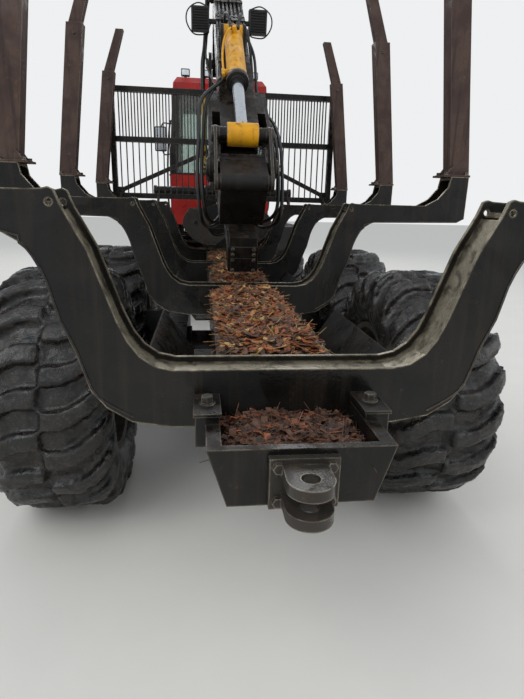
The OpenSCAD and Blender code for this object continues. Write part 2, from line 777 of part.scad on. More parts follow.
module boom_lamps() {
    foot = boom_at(2250, 60);
    color(black) placed() both_sides() {
        // bracket, lamp body and guard loop
        block([boom_w / 2 + seat, foot[0] - 20, foot[1] - 10], [boom_w / 2 + 60, foot[0] + 20, foot[1] + 20]);
        difference() {
            translate([boom_w / 2 + 128, foot[0] - 20, foot[1] + 10]) rotate([12, 0, 0])
                translate([-78, -60, -95]) cube([156, 130, 190]);
            translate([boom_w / 2 + 128, foot[0] - 20, foot[1] + 10]) rotate([12, 0, 0])
                translate([-64, -61, -81]) cube([128, 14, 162]);
        }
        translate([boom_w / 2 + 128, foot[0] - 20, foot[1] + 10]) rotate([12, 0, 0]) {
            for (x = [-64, 56]) translate([x, -105, -95]) cube([8, 50, 12]);
            translate([-64, -110, -95]) cube([128, 8, 12]);
        }
    }
}

// Yellow barrel with an eye at its foot and a gland at its mouth
module barrel(foot, eye, r, eye_r, eye_half, from, mouth, rod_r, pin_r) {
    difference() {
        union() {
            cross_bar(foot, eye_r, -eye_half, eye_half);
            slant_bar(0, along(foot, eye, 10), along(foot, eye, eye_r + 30), min(r - 4, eye_half - 3));
            slant_bar(0, along(foot, eye, eye_r + 24), along(foot, eye, mouth), r);
            slant_bar(0, along(foot, eye, mouth - 60), along(foot, eye, mouth), r + 6);
        }
        slant_bar(0, along(foot, eye, from), along(foot, eye, mouth + 10), rod_r + fit);
        cross_bar(foot, pin_r + fit, -400, 400);
    }
}

// Rod whose eye is at the far pin
module rod(foot, eye, r, eye_r, eye_half, start) {
    slant_bar(0, along(foot, eye, start), along(foot, eye, norm(eye - foot) - eye_r * 0.6), r);
    cross_bar(eye, eye_r, -eye_half, eye_half);
}

module lift_barrel() {
    color(yellow) placed()
        barrel(lift_foot, lift_eye, lift_r, lift_ear_r, lift_eye_half, 170, 800, lift_rod_r,
               crane_pin_r);
}

module lift_rod() {
    color(chrome) placed() rod(lift_foot, lift_eye, lift_rod_r, lift_ear_r - 4, lift_eye_half, 210);
}

module fold_barrel() {
    color(yellow) placed()
        barrel(fold_root, fold_eye, fold_r, 60, fold_r + 4, 110, 800, fold_rod_r, 25);
}

module fold_rod() {
    color(chrome) placed() rod(fold_root, fold_eye, fold_rod_r, 67, fold_eye_half, 540);
}

module fold_rocker() {
    middle = (rocker_pin + fold_eye) / 2;
    color(steel) placed() {
        both_sides() {
            difference() {
                side_plate(rocker_in, rocker_out - rocker_in) link_2d(rocker_pin, fold_eye, 96);
                cross_bar(rocker_pin, 25 + fit, 0, 400);
            }
            // boss beside the rod's eye
            cross_bar(fold_eye, 44, fold_eye_half + seat, rocker_in + 1);
        }
        cross_bar(middle, 14, -rocker_in - 1, rocker_in + 1);
    }
}

module fold_link() {
    color(worn) placed() both_sides() {
        side_plate(link_in, link_out - link_in) link_2d(fold_eye, link_pin, 100, 0.9);
        cross_bar(fold_eye, 46, link_out - 1, link_out + 14);
    }
}

module outer_boom() {
    half = outer_w / 2;
    color(steel) placed() {
        difference() {
            union() {
                // base bracket under the knuckle pin
                side_plate(-bracket_half, 2 * bracket_half) {
                    translate(knuckle) circle(r = 80);
                    translate(link_pin) circle(r = 56);
                    polygon([
                        knuckle + [0, 80], knuckle + [80, 0], outer_at(330, outer_h / 2 - 4),
                        outer_at(-90, outer_h / 2 - 4), link_pin + [-56, 0], link_pin + [-20, 52]]);
                }
                side_plate(-half, outer_w) polygon([
                    outer_at(-330, -outer_h / 2), outer_at(1720, -outer_h / 2),
                    outer_at(1720, outer_h / 2), outer_at(-330, outer_h / 2)]);
                // bosses beside the links' lower ends
                cross_bar(link_pin, 46, -link_in + seat, link_in - seat);
                // bolted covers stepping down the tail
                side_plate(-half - 9, outer_w + 18) {
                    polygon([outer_at(-330, -outer_h / 2 - 8), outer_at(-150, -outer_h / 2 - 8),
                             outer_at(-150, outer_h / 2 - 20), outer_at(-330, outer_h / 2 - 60)]);
                }
                side_plate(-half - 6, outer_w + 12) polygon([
                    outer_at(1560, -outer_h / 2 - 8), outer_at(1730, -outer_h / 2 - 8),
                    outer_at(1730, outer_h / 2 + 8), outer_at(1560, outer_h / 2 + 8)]);
            }
            // tunnel for the extension
            side_plate(-half + 12, outer_w - 24) polygon([
                outer_at(-200, -outer_h / 2 + 14), outer_at(1800, -outer_h / 2 + 14),
                outer_at(1800, outer_h / 2 - 14), outer_at(-200, outer_h / 2 - 14)]);
            cross_bar(knuckle, crane_pin_r + fit, -400, 400);
        }
    }
}

module extension() {
    w = outer_w - 24 - 2;
    h = outer_h - 28 - 2;
    reach = (tip_y - knuckle_y - outer_drop * sin(outer_slope)) / cos(outer_slope);
    color(steel) placed() difference() {
        union() {
            side_plate(-w / 2, w) polygon([
                outer_at(-190, -h / 2), outer_at(reach - 130, -h / 2), outer_at(reach - 40, -48),
                outer_at(reach - 40, 48), outer_at(reach - 130, h / 2), outer_at(-190, h / 2)]);
            both_sides() side_plate(46, 24) link_2d(outer_at(reach - 110, 0), tip_pin, 110);
        }
        block([-46, tip_pin[0] - 95, tip_pin[1] - 400], [46, tip_pin[0] + 200, tip_pin[1] + 400]);
        cross_bar(tip_pin, 25, -400, 400);
    }
    color(chrome) placed() cross_bar(tip_pin, 25, -78, 78);
}

/* Grapple */

rotor_top = tip_pin[1] - 190;
rotor_low = rotor_top - 200;

module grapple_link() {
    color(steel) placed() {
        difference() {
            union() {
                side_plate(-40, 80) link_2d(tip_pin, tip_pin + [0, -120], 96);
                translate([0, tip_y, rotor_top - 8]) cylinder(r = 95, h = 60);
                translate([0, tip_y, rotor_low + 30]) cylinder(r = 112, h = rotor_top - rotor_low - 30);
            }
            cross_bar(tip_pin, 25 + fit, -400, 400);
        }
        translate([0, tip_y, rotor_low + seat]) cylinder(r = 60, h = 60);
    }
}

module grapple_head() {
    color(steel) placed() {
        // flange under the rotator, cap and the two side plates
        translate([0, tip_y, rotor_low - 24]) cylinder(r = 105, h = 24);
        block([-120, tip_y - 132, rotor_low - 40], [120, tip_y + 132, rotor_low - 22]);
        for (y = [tip_y - 132, tip_y + 112]) difference() {
            cross_plate(y, 20) {
                for (x = [-jaw_x, jaw_x]) translate([x, jaw_z]) circle(r = 84);
                polygon([
                    [-jaw_x, jaw_z - 60], [jaw_x, jaw_z - 60], [jaw_x + 40, jaw_z + 72],
                    [120, rotor_low - 22], [-120, rotor_low - 22], [-jaw_x - 40, jaw_z + 72]]);
            }
            for (x = [-jaw_x, jaw_x]) long_bar(x, jaw_z, 24, tip_y - 200, tip_y + 200);
        }
    }
    color(chrome) placed() for (x = [-jaw_x, jaw_x])
        long_bar(x, jaw_z, 24, tip_y - grapple_half - 6, tip_y + grapple_half + 6);
}

ear_x = jaw_x + 44;
ear_z = jaw_z + 95;
grip_r = 42;
grip_eye = 54 - seat; // half width of the grip cylinder's eyes

// Right jaw: two curved side plates, joined by a back plate
module jaw() {
    outer_r = 128;
    tip = jaw_x - 20;
    difference() {
        union() {
            for (y = [tip_y - grapple_half, tip_y + grapple_half - 60]) cross_plate(y, 60) {
                translate([jaw_x, jaw_z]) circle(r = outer_r);
                polygon([
                    [jaw_x + 100, jaw_z - 78], [jaw_x + 20, jaw_z + 20],
                    [jaw_x - 110, jaw_z - 60], [jaw_x - 160, jaw_z - 124],
                    [jaw_x - 220, jaw_z - 136], [jaw_x - tip, jaw_z - 114],
                    [jaw_x - tip, jaw_z - 138], [jaw_x - 190, jaw_z - 212],
                    [jaw_x - 60, jaw_z - 205], [jaw_x + 40, jaw_z - 150]]);
            }
            // back plate along the outside of the claw
            cross_plate(tip_y - grapple_half, 2 * grapple_half) polygon([
                [jaw_x + 116, jaw_z - 54], [jaw_x + 96, jaw_z - 84], [jaw_x + 36, jaw_z - 150],
                [jaw_x - 62, jaw_z - 206], [jaw_x - 190, jaw_z - 214], [jaw_x - 190, jaw_z - 200],
                [jaw_x - 58, jaw_z - 192], [jaw_x + 30, jaw_z - 140], [jaw_x + 86, jaw_z - 78],
                [jaw_x + 104, jaw_z - 50]]);
            // ear for the cylinder
            for (y = [tip_y - 74, tip_y + 54]) cross_plate(y, 20)
                link_2d([jaw_x, jaw_z], [ear_x, ear_z], 84);
            long_bar(jaw_x, jaw_z, 44, tip_y - 108, tip_y + 108);
            cross_plate(tip_y - 90, 180) polygon([
                [jaw_x - 36, jaw_z - 24], [jaw_x + 36, jaw_z - 24], [jaw_x + 92, jaw_z - 84],
                [jaw_x + 36, jaw_z - 146], [jaw_x - 20, jaw_z - 176]]);
        }
        long_bar(jaw_x, jaw_z, 24 + fit, tip_y - 400, tip_y + 400);
        // room for the head's side plates
        for (y = [tip_y - 132 - part_gap, tip_y + 112 - part_gap])
            block([jaw_x - 140, y, jaw_z - 90], [jaw_x + 96, y + 20 + 2 * part_gap, jaw_z + 96]);
    }
}

module jaw_right() {
    color(worn) placed() jaw();
}

module jaw_left() {
    color(worn) placed() mirror([1, 0, 0]) jaw();
}

module grip_barrel() {
    color(steel) placed() difference() {
        union() {
            long_bar(-ear_x, ear_z, 40, tip_y - grip_eye, tip_y + grip_eye);
            translate([-ear_x + 20, tip_y, ear_z]) rotate([0, 90, 0])
                cylinder(r = grip_r, h = 2 * ear_x - 310);
        }
        translate([-ear_x + 60, tip_y, ear_z]) rotate([0, 90, 0])
            cylinder(r = 26 + fit, h = 2 * ear_x);
    }
}

module grip_rod() {
    color(chrome) placed() {
        long_bar(ear_x, ear_z, 40, tip_y - grip_eye, tip_y + grip_eye);
        translate([-ear_x + 305, tip_y, ear_z]) rotate([0, 90, 0])
            cylinder(r = 26, h = 2 * ear_x - 325);
    }
}

/* Front frame and steering */

steer_z = 940;
steer_rear_x = 310;
steer_rear_y = hinge_y - 900;
steer_front_x = 260;
steer_front_y = hinge_y + 120;
steer_pin_r = 20;
steer_eye = 38;  // half height of the room between two lugs
lug_plate = 24;  // thickness of a steering lug

module front_frame() {
    eye_low = beam_bottom - 40;
    eye_h = 200;
    color(steel) placed() {
        difference() {
            union() {
                block([-250, hinge_y + 360, beam_bottom], [250, nose_y - 140, beam_top]);
                // yoke round the hinge eye
                for (z = [eye_low - seat - 76, eye_low + eye_h + seat]) flat_plate(z, 76) {
                    translate([0, hinge_y]) circle(r = hinge_eye_r);
                    polygon([[-140, hinge_y], [140, hinge_y], [200, hinge_y + 380], [-200, hinge_y + 380]]);
                }
                block([-200, hinge_y + 300, eye_low - seat - 76], [200, hinge_y + 420, beam_top]);
                // steering arms, above and below each rod's eye
                both_sides() for (z = [steer_z - steer_eye - lug_plate, steer_z + steer_eye])
                    flat_plate(z, lug_plate)
                    polygon([
                        [160, hinge_y + 300], [200, hinge_y + 70], [320, hinge_y + 70],
                        [330, hinge_y + 180], [250, hinge_y + 420], [160, hinge_y + 420]]);
            }
            translate([0, hinge_y, 0]) cylinder(r = hinge_pin_r, h = 2000);
            // hollow of the beam, open at the nose
            block([-250 + beam_wall, hinge_y + 440, beam_bottom + beam_wall],
                  [250 - beam_wall, nose_y - 139, beam_top - beam_wall]);
        }
        translate([0, hinge_y, eye_low - 90]) cylinder(r = hinge_pin_r, h = eye_h + 180);
        // cross members under the fenders, and the cab's mounts on two of them
        for (y = CROSS)
            block([-leg_x, y - 50, beam_top - 30], [leg_x, y + 50, beam_top]);
        for (y = [CROSS[0], CROSS[1]], x = [-300, 300])
            translate([x, y, beam_top - 10]) cylinder(r = 60, h = cab_bottom - beam_top + 10 - seat);
    }
}

module steer_barrel(side) {
    foot = [side * steer_rear_x, steer_rear_y, steer_z];
    eye = [side * steer_front_x, steer_front_y, steer_z];
    turn = atan2(eye[1] - foot[1], eye[0] - foot[0]);
    color(yellow) placed() translate(foot) rotate([0, 0, turn]) difference() {
        union() {
            translate([0, 0, 1 - steer_eye]) cylinder(r = 44, h = 2 * steer_eye - 2);
            translate([30, 0, 0]) rotate([0, 90, 0]) cylinder(r = 34, h = 60);
            translate([70, 0, 0]) rotate([0, 90, 0]) cylinder(r = 46, h = 560);
            translate([600, 0, 0]) rotate([0, 90, 0]) cylinder(r = 50, h = 34);
        }
        translate([110, 0, 0]) rotate([0, 90, 0]) cylinder(r = 25 + fit, h = 600);
        translate([0, 0, -60]) cylinder(r = steer_pin_r + fit, h = 120);
    }
}

module steer_rod(side) {
    foot = [side * steer_rear_x, steer_rear_y, steer_z];
    eye = [side * steer_front_x, steer_front_y, steer_z];
    turn = atan2(eye[1] - foot[1], eye[0] - foot[0]);
    length = norm(eye - foot);
    color(chrome) placed() translate(foot) rotate([0, 0, turn]) {
        translate([330, 0, 0]) rotate([0, 90, 0]) cylinder(r = 25, h = length - 340);
        translate([length, 0, 1 - steer_eye]) cylinder(r = 42, h = 2 * steer_eye - 2);
    }
}

module steer_barrel_left() { steer_barrel(-1); }
module steer_barrel_right() { steer_barrel(1); }
module steer_rod_left() { steer_rod(-1); }
module steer_rod_right() { steer_rod(1); }

/* Cab */

hinge_r = 18;
hinge_x = cab_half + hinge_r + 1; // axis of a door's hinges
hinge_pin = 10;
DOOR_HINGES = [1680, 2060]; // heights of a door's hinges
door_low = cab_bottom + 100;
door_high = cab_top - 210;
door_rear = cab_rear_y + 420;
door_front = cab_front_y - 350;

// Side outline of the cab, moved in by d
module cab_side_2d(d) {
    polygon([
        [cab_rear_y + d, cab_bottom + d], [cab_front_y - d, cab_bottom + d],
        [cab_front_y + 20 - d, 2200], [cab_front_y - 190 - d, cab_top - 90 - d],
        [cab_front_y - 260 - d, cab_top - d], [cab_rear_y + 130 + d, cab_top - d],
        [cab_rear_y + 40 + d, cab_top - 80 - d], [cab_rear_y + d, 2200]]);
}

// Outline of a side window in the cab's wall, in [y, z]
module side_window_2d(y0, y1, d) {
    polygon([[y0 + d, 2120 + d], [y1 - d, 2120 + d], [y1 - d, door_high - 40 - d],
             [y0 + d, door_high - 40 - d]]);
}

// Front and rear windows, in [x, z]
module end_window_2d(d) {
    polygon([[-cab_half + 90 + d, 2080 + d], [cab_half - 90 - d, 2080 + d],
             [cab_half - 130 - d, cab_top - 220 - d], [-cab_half + 130 + d, cab_top - 220 - d]]);
}

// Cab as seen from the front: upright below, leaning in above the waist
module cab_front_2d(d) {
    polygon([
        [-cab_half + d, cab_bottom - 1], [cab_half - d, cab_bottom - 1], [cab_half - d, 2200],
        [cab_half - 60 - d, cab_top - 90], [cab_half - 110 - d, cab_top + 1],
        [-cab_half + 110 + d, cab_top + 1], [-cab_half + 60 + d, cab_top - 90],
        [-cab_half + d, 2200]]);
}

// One half of a door's hinge: its knuckle from z, and its leaf toward y + dy
module hinge_half(z, h, dy) {
    translate([hinge_x, door_front, z]) cylinder(r = hinge_r, h = h);
    block([cab_half - 2, min(door_front, door_front + dy), z],
          [cab_half + 8, max(door_front, door_front + dy), z + h]);
}

module cab_shell() {
    color(red) placed() both_sides() for (z = DOOR_HINGES) {
        hinge_half(z, 30, 70);
        translate([hinge_x, door_front, z]) cylinder(r = hinge_pin, h = 84);
    }
    color(red) placed() difference() {
        intersection() {
            side_plate(-cab_half, 2 * cab_half) cab_side_2d(0);
            cross_plate(cab_rear_y - 10, cab_front_y - cab_rear_y + 60) cab_front_2d(0);
        }
        intersection() {
            side_plate(-cab_half, 2 * cab_half) cab_side_2d(cab_wall);
            cross_plate(cab_rear_y - 10, cab_front_y - cab_rear_y + 60) cab_front_2d(cab_wall);
        }
        // windows at both ends
        cross_plate(cab_rear_y - 40, 220) end_window_2d(0);
        cross_plate(cab_front_y - 330, 400) end_window_2d(0);
        // doorways and the quarter windows beside them
        side_plate(-cab_half - 10, 2 * cab_half + 20) {
            polygon([[door_rear, door_low], [door_front, door_low], [door_front, door_high],
                     [door_rear, door_high]]);
            side_window_2d(cab_rear_y + 90, door_rear - 70, 0);
            side_window_2d(door_front + 70, cab_front_y - 220, 0);
        }
    }
}

// Wall of the cab between two depths, for what fills a hole in it
module cab_skin(outer, inner) {
    difference() {
        cross_plate(cab_rear_y - 10, cab_front_y - cab_rear_y + 60) cab_front_2d(outer);
        cross_plate(cab_rear_y - 20, cab_front_y - cab_rear_y + 80) cab_front_2d(inner);
    }
}

module end_skin(outer, inner) {
    difference() {
        side_plate(-cab_half, 2 * cab_half) cab_side_2d(outer);
        side_plate(-cab_half - 1, 2 * cab_half + 2) cab_side_2d(inner);
    }
}

module cab_glass() {
    color([0.35, 0.42, 0.42, 0.4]) placed() {
        intersection() {
            end_skin(18, 24);
            union() {
                cross_plate(cab_rear_y - 40, 220) end_window_2d(seat);
                cross_plate(cab_front_y - 330, 400) end_window_2d(seat);
            }
        }
        intersection() {
            cab_skin(18, 24);
            side_plate(-cab_half - 10, 2 * cab_half + 20) {
                side_window_2d(cab_rear_y + 90, door_rear - 70, seat);
                side_window_2d(door_front + 70, cab_front_y - 220, seat);
            }
        }
    }
}

module door(side) {
    g = door_gap;
    color(red) placed() mirror([side > 0 ? 0 : 1, 0, 0]) for (z = DOOR_HINGES) difference() {
        hinge_half(z + 30 + seat, 50, -70);
        translate([hinge_x, door_front, z]) cylinder(r = hinge_pin + fit, h = 100);
        // nothing of the leaf in the gap beside the knuckle
        block([cab_half - 20, door_front - 8, z], [cab_half + 2, door_front + 40, z + 100]);
    }
    color(red) placed() intersection() {
        cab_skin(0, cab_wall - 5);
        difference() {
            side_plate(side > 0 ? 0 : -cab_half - 10, cab_half + 10)
                polygon([[door_rear + g, door_low + g], [door_front - g, door_low + g],
                         [door_front - g, door_high - g], [door_rear + g, door_high - g]]);
            side_plate(-cab_half - 10, 2 * cab_half + 20) side_window_2d(door_rear + 80, door_front - 80, 0);
            side_plate(-cab_half - 10, 2 * cab_half + 20) polygon([
                [door_rear + 80, door_low + 120], [door_front - 80, door_low + 120],
                [door_front - 80, 2040], [door_rear + 80, 2040]]);
        }
    }
}

module door_glass(side) {
    color([0.35, 0.42, 0.42, 0.4]) placed() intersection() {
        cab_skin(18, 24);
        side_plate(side > 0 ? 0 : -cab_half - 10, cab_half + 10) {
            side_window_2d(door_rear + 80, door_front - 80, seat);
            polygon([
                [door_rear + 80 + seat, door_low + 120 + seat],
                [door_front - 80 - seat, door_low + 120 + seat],
                [door_front - 80 - seat, 2040 - seat], [door_rear + 80 + seat, 2040 - seat]]);
        }
    }
}

module door_left() { door(-1); }
module door_right() { door(1); }
module door_glass_left() { door_glass(-1); }
module door_glass_right() { door_glass(1); }

module cab_interior() {
    floor_z = cab_bottom + cab_wall + seat;
    seat_y = cab_rear_y + 780;
    color(black) placed() {
        // seat on its pedestal
        translate([0, seat_y, floor_z]) cylinder(r = 150, h = 290);
        block([-260, seat_y - 250, floor_z + 290], [260, seat_y + 260, floor_z + 410]);
        translate([0, seat_y - 250, floor_z + 380]) rotate([8, 0, 0])
            translate([-240, -60, 0]) cube([480, 110, 640]);
        translate([0, seat_y - 340, floor_z + 1000]) rotate([8, 0, 0])
            translate([-140, -40, 0]) cube([280, 80, 180]);
        // armrests with their control boxes
        both_sides() {
            block([300, seat_y - 160, floor_z + 540], [400, seat_y + 260, floor_z + 600]);
            block([258, seat_y - 60, floor_z + 330], [312, seat_y + 40, floor_z + 580]);
            translate([350, seat_y + 200, floor_z + 600]) cylinder(r = 22, h = 130);
        }
        // console at the front
        side_plate(-330, 660) polygon([
            [cab_front_y - 330, floor_z], [cab_front_y - 80, floor_z],
            [cab_front_y - 80, floor_z + 560], [cab_front_y - 180, floor_z + 620],
            [cab_front_y - 250, floor_z + 520]]);
    }
}

/* Hood, engine, nose and fenders */

hood_rear = cab_front_y + 130;
hood_low = beam_top + 40;
hood_front = nose_y - 120;
hood_pin = [hood_front - 10, beam_top + 18];
leg_x = 640; // outer face of the fenders' legs
// Cross members of the front frame
CROSS = [cab_rear_y + 250, cab_front_y - 250, cab_front_y + 280, nose_y - 400];

module hood_2d(d) {
    polygon([
        [hood_rear - 1, hood_low - 1], [hood_front - d, hood_low - 1],
        [hood_front - d, hood_nose - 160], [hood_front - 90 - d, hood_nose - d],
        [hood_rear - 1, hood_top - d]]);
}

module hood() {
    half = hood_half;
    color(red) placed() difference() {
        intersection() {
            side_plate(-half, 2 * half) hood_2d(0);
            cross_plate(hood_rear, hood_front - hood_rear + 10) polygon([
                [-half, hood_low], [half, hood_low], [half, hood_top - 160], [half - 80, hood_top + 10],
                [-half + 80, hood_top + 10], [-half, hood_top - 160]]);
        }
        intersection() {
            side_plate(-half + hood_wall, 2 * (half - hood_wall)) hood_2d(hood_wall);
            cross_plate(hood_rear - 10, hood_front - hood_rear + 10) polygon([
                [-half, hood_low - 10], [half, hood_low - 10], [half - hood_wall, hood_top - 170],
                [half - 80 - hood_wall, hood_top + 10], [-half + 80 + hood_wall, hood_top + 10],
                [-half + hood_wall, hood_top - 170]]);
        }
        // louvres in the sides and the nose
        for (i = [0 : 6]) {
            block([-half - 5, hood_rear + 250, 1500 + i * 55], [half + 5, hood_rear + 800, 1522 + i * 55]);
            block([-half + 140, hood_front - 60, 1380 + i * 62], [half - 140, hood_front + 5, 1408 + i * 62]);
        }
    }
    // hinge lugs under the nose
    color(red) placed() both_sides() difference() {
        side_plate(300, 24) {
            translate(hood_pin) circle(r = 16);
            polygon([hood_pin + [-16, 0], hood_pin + [9, 0], [hood_front - 1, hood_low + 60],
                     [hood_front - hood_wall, hood_low + 60]]);
        }
        cross_bar(hood_pin, 9 + fit, 290, 340);
    }
}

module engine() {
    color(worn) placed() {
        block([-330, hood_rear + 150, beam_top + 60], [330, hood_rear + 950, 1760]);
        both_sides() block([130, hood_rear + 250, beam_top + seat], [230, hood_rear + 350, beam_top + 61]);
        both_sides() block([130, hood_rear + 750, beam_top + seat], [230, hood_rear + 850, beam_top + 61]);
        // exhaust elbow and stack behind the hood
        long_bar(300, 1600, 42, hood_rear - 55, hood_rear + 151);
        translate([300, hood_rear - 55, 1600]) sphere(r = 42);
        translate([300, hood_rear - 55, 1600]) cylinder(r = 42, h = 1150);
    }
}

module front_guard() {
    y0 = nose_y - 140;
    color(steel) placed() {
        difference() {
            side_plate(-760, 1520) polygon([
                [y0 + seat, 720], [nose_y - 20, 720], [nose_y, 780], [nose_y, beam_top - 20],
                [nose_y - 20, beam_top], [y0 + seat, beam_top]]);
            both_sides() block([300, y0 - 1, 780], [700, nose_y - 30, beam_top - 50]);
            side_plate(-70, 140) polygon([[nose_y - 90, 900], [nose_y + 5, 900], [nose_y + 5, 1000],
                                          [nose_y - 90, 1000]]);
        }
        // ears and pins of the hood's hinge
        both_sides() {
            side_plate(326, 20) {
                translate(hood_pin) circle(r = 16);
                polygon([hood_pin + [-8, 0], hood_pin + [16, 0], [hood_pin[0] + 20, beam_top - 10],
                         [hood_pin[0] - 8, beam_top - 10]]);
            }
            cross_bar(hood_pin, 9, 298, 346);
        }
    }
}

fender_z = cab_bottom - 16;

module fenders() {
    edge = track_half + tyre_w / 2;
    color(black) placed() both_sides() {
        // plates over the front wheels: [rear, front]
        for (y = [[cab_rear_y + 40, cab_front_y - 20], [hood_rear + 10, nose_y - 160]])
            block([leg_x - 40, y[0], fender_z], [edge, y[1], fender_z + 12]);
        // their ribs and legs, standing on the frame's cross members
        for (y = CROSS) {
            block([leg_x - 40, y - 20, fender_z - 24], [edge - 30, y + 20, fender_z + 1]);
            block([leg_x - 40, y - 20, beam_top + seat], [leg_x, y + 20, fender_z]);
        }
    }
}

rear_frame();
rear_axle();
bunks();
stakes();
gate();
rear_bumper();
tow_clevis();
slew_base();
column();
main_boom();
boom_lamps();
lift_barrel();
lift_rod();
fold_barrel();
fold_rod();
fold_rocker();
fold_link();
outer_boom();
extension();
grapple_link();
grapple_head();
jaw_left();
jaw_right();
grip_barrel();
grip_rod();
front_frame();
front_axle();
steer_barrel_left();
steer_barrel_right();
steer_rod_left();
steer_rod_right();
cab_shell();
cab_glass();
cab_interior();
door_left();
door_right();
door_glass_left();
door_glass_right();
hood();
engine();
front_guard();
fenders();
tyre_1_left();
tyre_1_right();
tyre_2_left();
tyre_2_right();
tyre_3_left();
tyre_3_right();
tyre_4_left();
tyre_4_right();
rim_1_left();
rim_1_right();
rim_2_left();
rim_2_right();
rim_3_left();
rim_3_right();
rim_4_left();
rim_4_right();
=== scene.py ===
"""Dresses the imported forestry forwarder: finishes for its steel, paint, glass and rubber, and the
pieces that its solids leave out, such as mud-caked tyres, hoses, bolts, lamps and forest litter.

Places along the machine are written as in its source, forward from the rear bunk, and turned to
the frame by the one function at_y.
"""

import json
import logging
import math
from dataclasses import dataclass
from enum import Enum
from typing import Callable, Iterable, Sequence

import bpy
import numpy as np
from mathutils import Matrix, Vector, noise

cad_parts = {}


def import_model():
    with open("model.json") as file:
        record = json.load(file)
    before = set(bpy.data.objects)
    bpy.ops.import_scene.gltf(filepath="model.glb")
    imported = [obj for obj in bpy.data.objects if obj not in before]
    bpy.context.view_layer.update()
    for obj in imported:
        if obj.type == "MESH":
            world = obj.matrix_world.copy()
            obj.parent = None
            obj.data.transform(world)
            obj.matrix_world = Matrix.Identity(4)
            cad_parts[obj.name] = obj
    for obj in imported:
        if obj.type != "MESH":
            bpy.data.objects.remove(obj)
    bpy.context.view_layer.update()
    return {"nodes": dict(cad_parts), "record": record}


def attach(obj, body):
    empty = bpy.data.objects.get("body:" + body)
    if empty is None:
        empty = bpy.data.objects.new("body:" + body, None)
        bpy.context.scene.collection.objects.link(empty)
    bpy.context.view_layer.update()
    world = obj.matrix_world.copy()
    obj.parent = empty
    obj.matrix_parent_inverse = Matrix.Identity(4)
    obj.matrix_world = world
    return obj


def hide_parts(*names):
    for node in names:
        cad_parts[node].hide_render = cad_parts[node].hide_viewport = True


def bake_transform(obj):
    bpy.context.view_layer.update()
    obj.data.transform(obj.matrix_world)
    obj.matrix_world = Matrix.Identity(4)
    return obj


LOG = logging.getLogger("forwarder")
MIDDLE = 4.337      # middle of the machine's length, forward from its rear bunk, in metres
TRACK = 0.975       # from the centre line to the middle of a tyre
AXLE_Z = 0.665      # height of the axles
AXLE_Y = (1.400, 2.900, 6.650, 8.150)
SIDES = (("left", -1), ("right", 1))
OWN_FINISH = {"bunks": "weathered_steel_bunk", "cab_shell": "red_paint_cab", "door_left": "red_paint_cab",
              "door_right": "red_paint_cab"}
FINISHES: dict[str, bpy.types.Material] = {}    # each finish by its name
Point = Sequence[float]


def at_y(along: float) -> float:
    """A place along the machine, forward from its rear bunk, as y in the frame."""
    return along - MIDDLE


def linear(code: str) -> tuple[float, float, float, float]:
    """Turns an sRGB hex colour to linear RGBA.

    Args:
        code: six hex digits, with or without a leading hash.
    Returns:
        Linear red, green, blue, and an alpha of 1.
    """
    digits = code.lstrip("#")
    parts = [int(digits[i:i + 2], 16) / 255 for i in (0, 2, 4)]
    return tuple(c / 12.92 if c <= 0.04045 else ((c + 0.055) / 1.055) ** 2.4 for c in parts) + (1.0,)


# ---- modelling steps -------------------------------------------------------------------------

def clear() -> None:
    """Leaves edit mode with nothing selected, because an operator acts on all that is selected."""
    if bpy.context.object is not None and bpy.context.object.mode != "OBJECT":
        bpy.ops.object.mode_set(mode="OBJECT")
    bpy.ops.object.select_all(action="DESELECT")


def only(obj: bpy.types.Object) -> bpy.types.Object:
    """Selects one object alone and makes it active."""
    clear()
    obj.select_set(True)
    bpy.context.view_layer.objects.active = obj
    return obj


def settle(obj: bpy.types.Object) -> bpy.types.Object:
    """Writes an object's place, turn and size into its mesh."""
    only(obj)
    bpy.ops.object.transform_apply(location=True, rotation=True, scale=True)
    return obj


def apply_modifier(obj: bpy.types.Object, kind: str, **settings: object) -> bpy.types.Object:
    """Adds one modifier with its settings and applies it.

    Args:
        obj: the object to change.
        kind: the modifier's type, such as BEVEL.
        settings: values for the modifier's properties.
    Returns:
        The same object.
    """
    only(obj)
    modifier = obj.modifiers.new(kind.title(), kind)
    for name, value in settings.items():
        setattr(modifier, name, value)
    bpy.ops.object.modifier_apply(modifier=modifier.name)
    return obj


def pick_faces(obj: bpy.types.Object, test: Callable[[Vector, Vector], bool]) -> None:
    """Enters edit mode with only the faces selected whose centre and normal pass a test."""
    only(obj)
    bpy.ops.object.mode_set(mode="EDIT")
    bpy.ops.mesh.select_mode(type="FACE")
    bpy.ops.mesh.select_all(action="DESELECT")
    bpy.ops.object.mode_set(mode="OBJECT")
    for face in obj.data.polygons:
        face.select = test(face.center, face.normal)
    bpy.ops.object.mode_set(mode="EDIT")


def leave_edit() -> None:
    """Goes back to object mode."""
    bpy.ops.object.mode_set(mode="OBJECT")


def inset(obj: bpy.types.Object, axis: int, sign: float, rim: float, depth: float) -> bpy.types.Object:
    """Insets what looks along an axis and moves it.

    Args:
        obj: the object to change.
        axis: 0, 1 or 2.
        sign: 1 for what looks along the axis, -1 against it.
        rim: width of the rim that stays.
        depth: how far the rest moves out, or in where it is negative.
    Returns:
        The same object.
    """
    pick_faces(obj, lambda c, n: n[axis] * sign > 0.9)
    bpy.ops.mesh.inset(thickness=rim)
    bpy.ops.transform.translate(value=[sign * depth if a == axis else 0 for a in range(3)])
    leave_edit()
    return obj


def smooth(obj: bpy.types.Object, degrees: float = 35.0) -> bpy.types.Object:
    """Shades an object smooth across edges flatter than an angle."""
    only(obj)
    bpy.ops.object.shade_smooth_by_angle(angle=math.radians(degrees))
    return obj


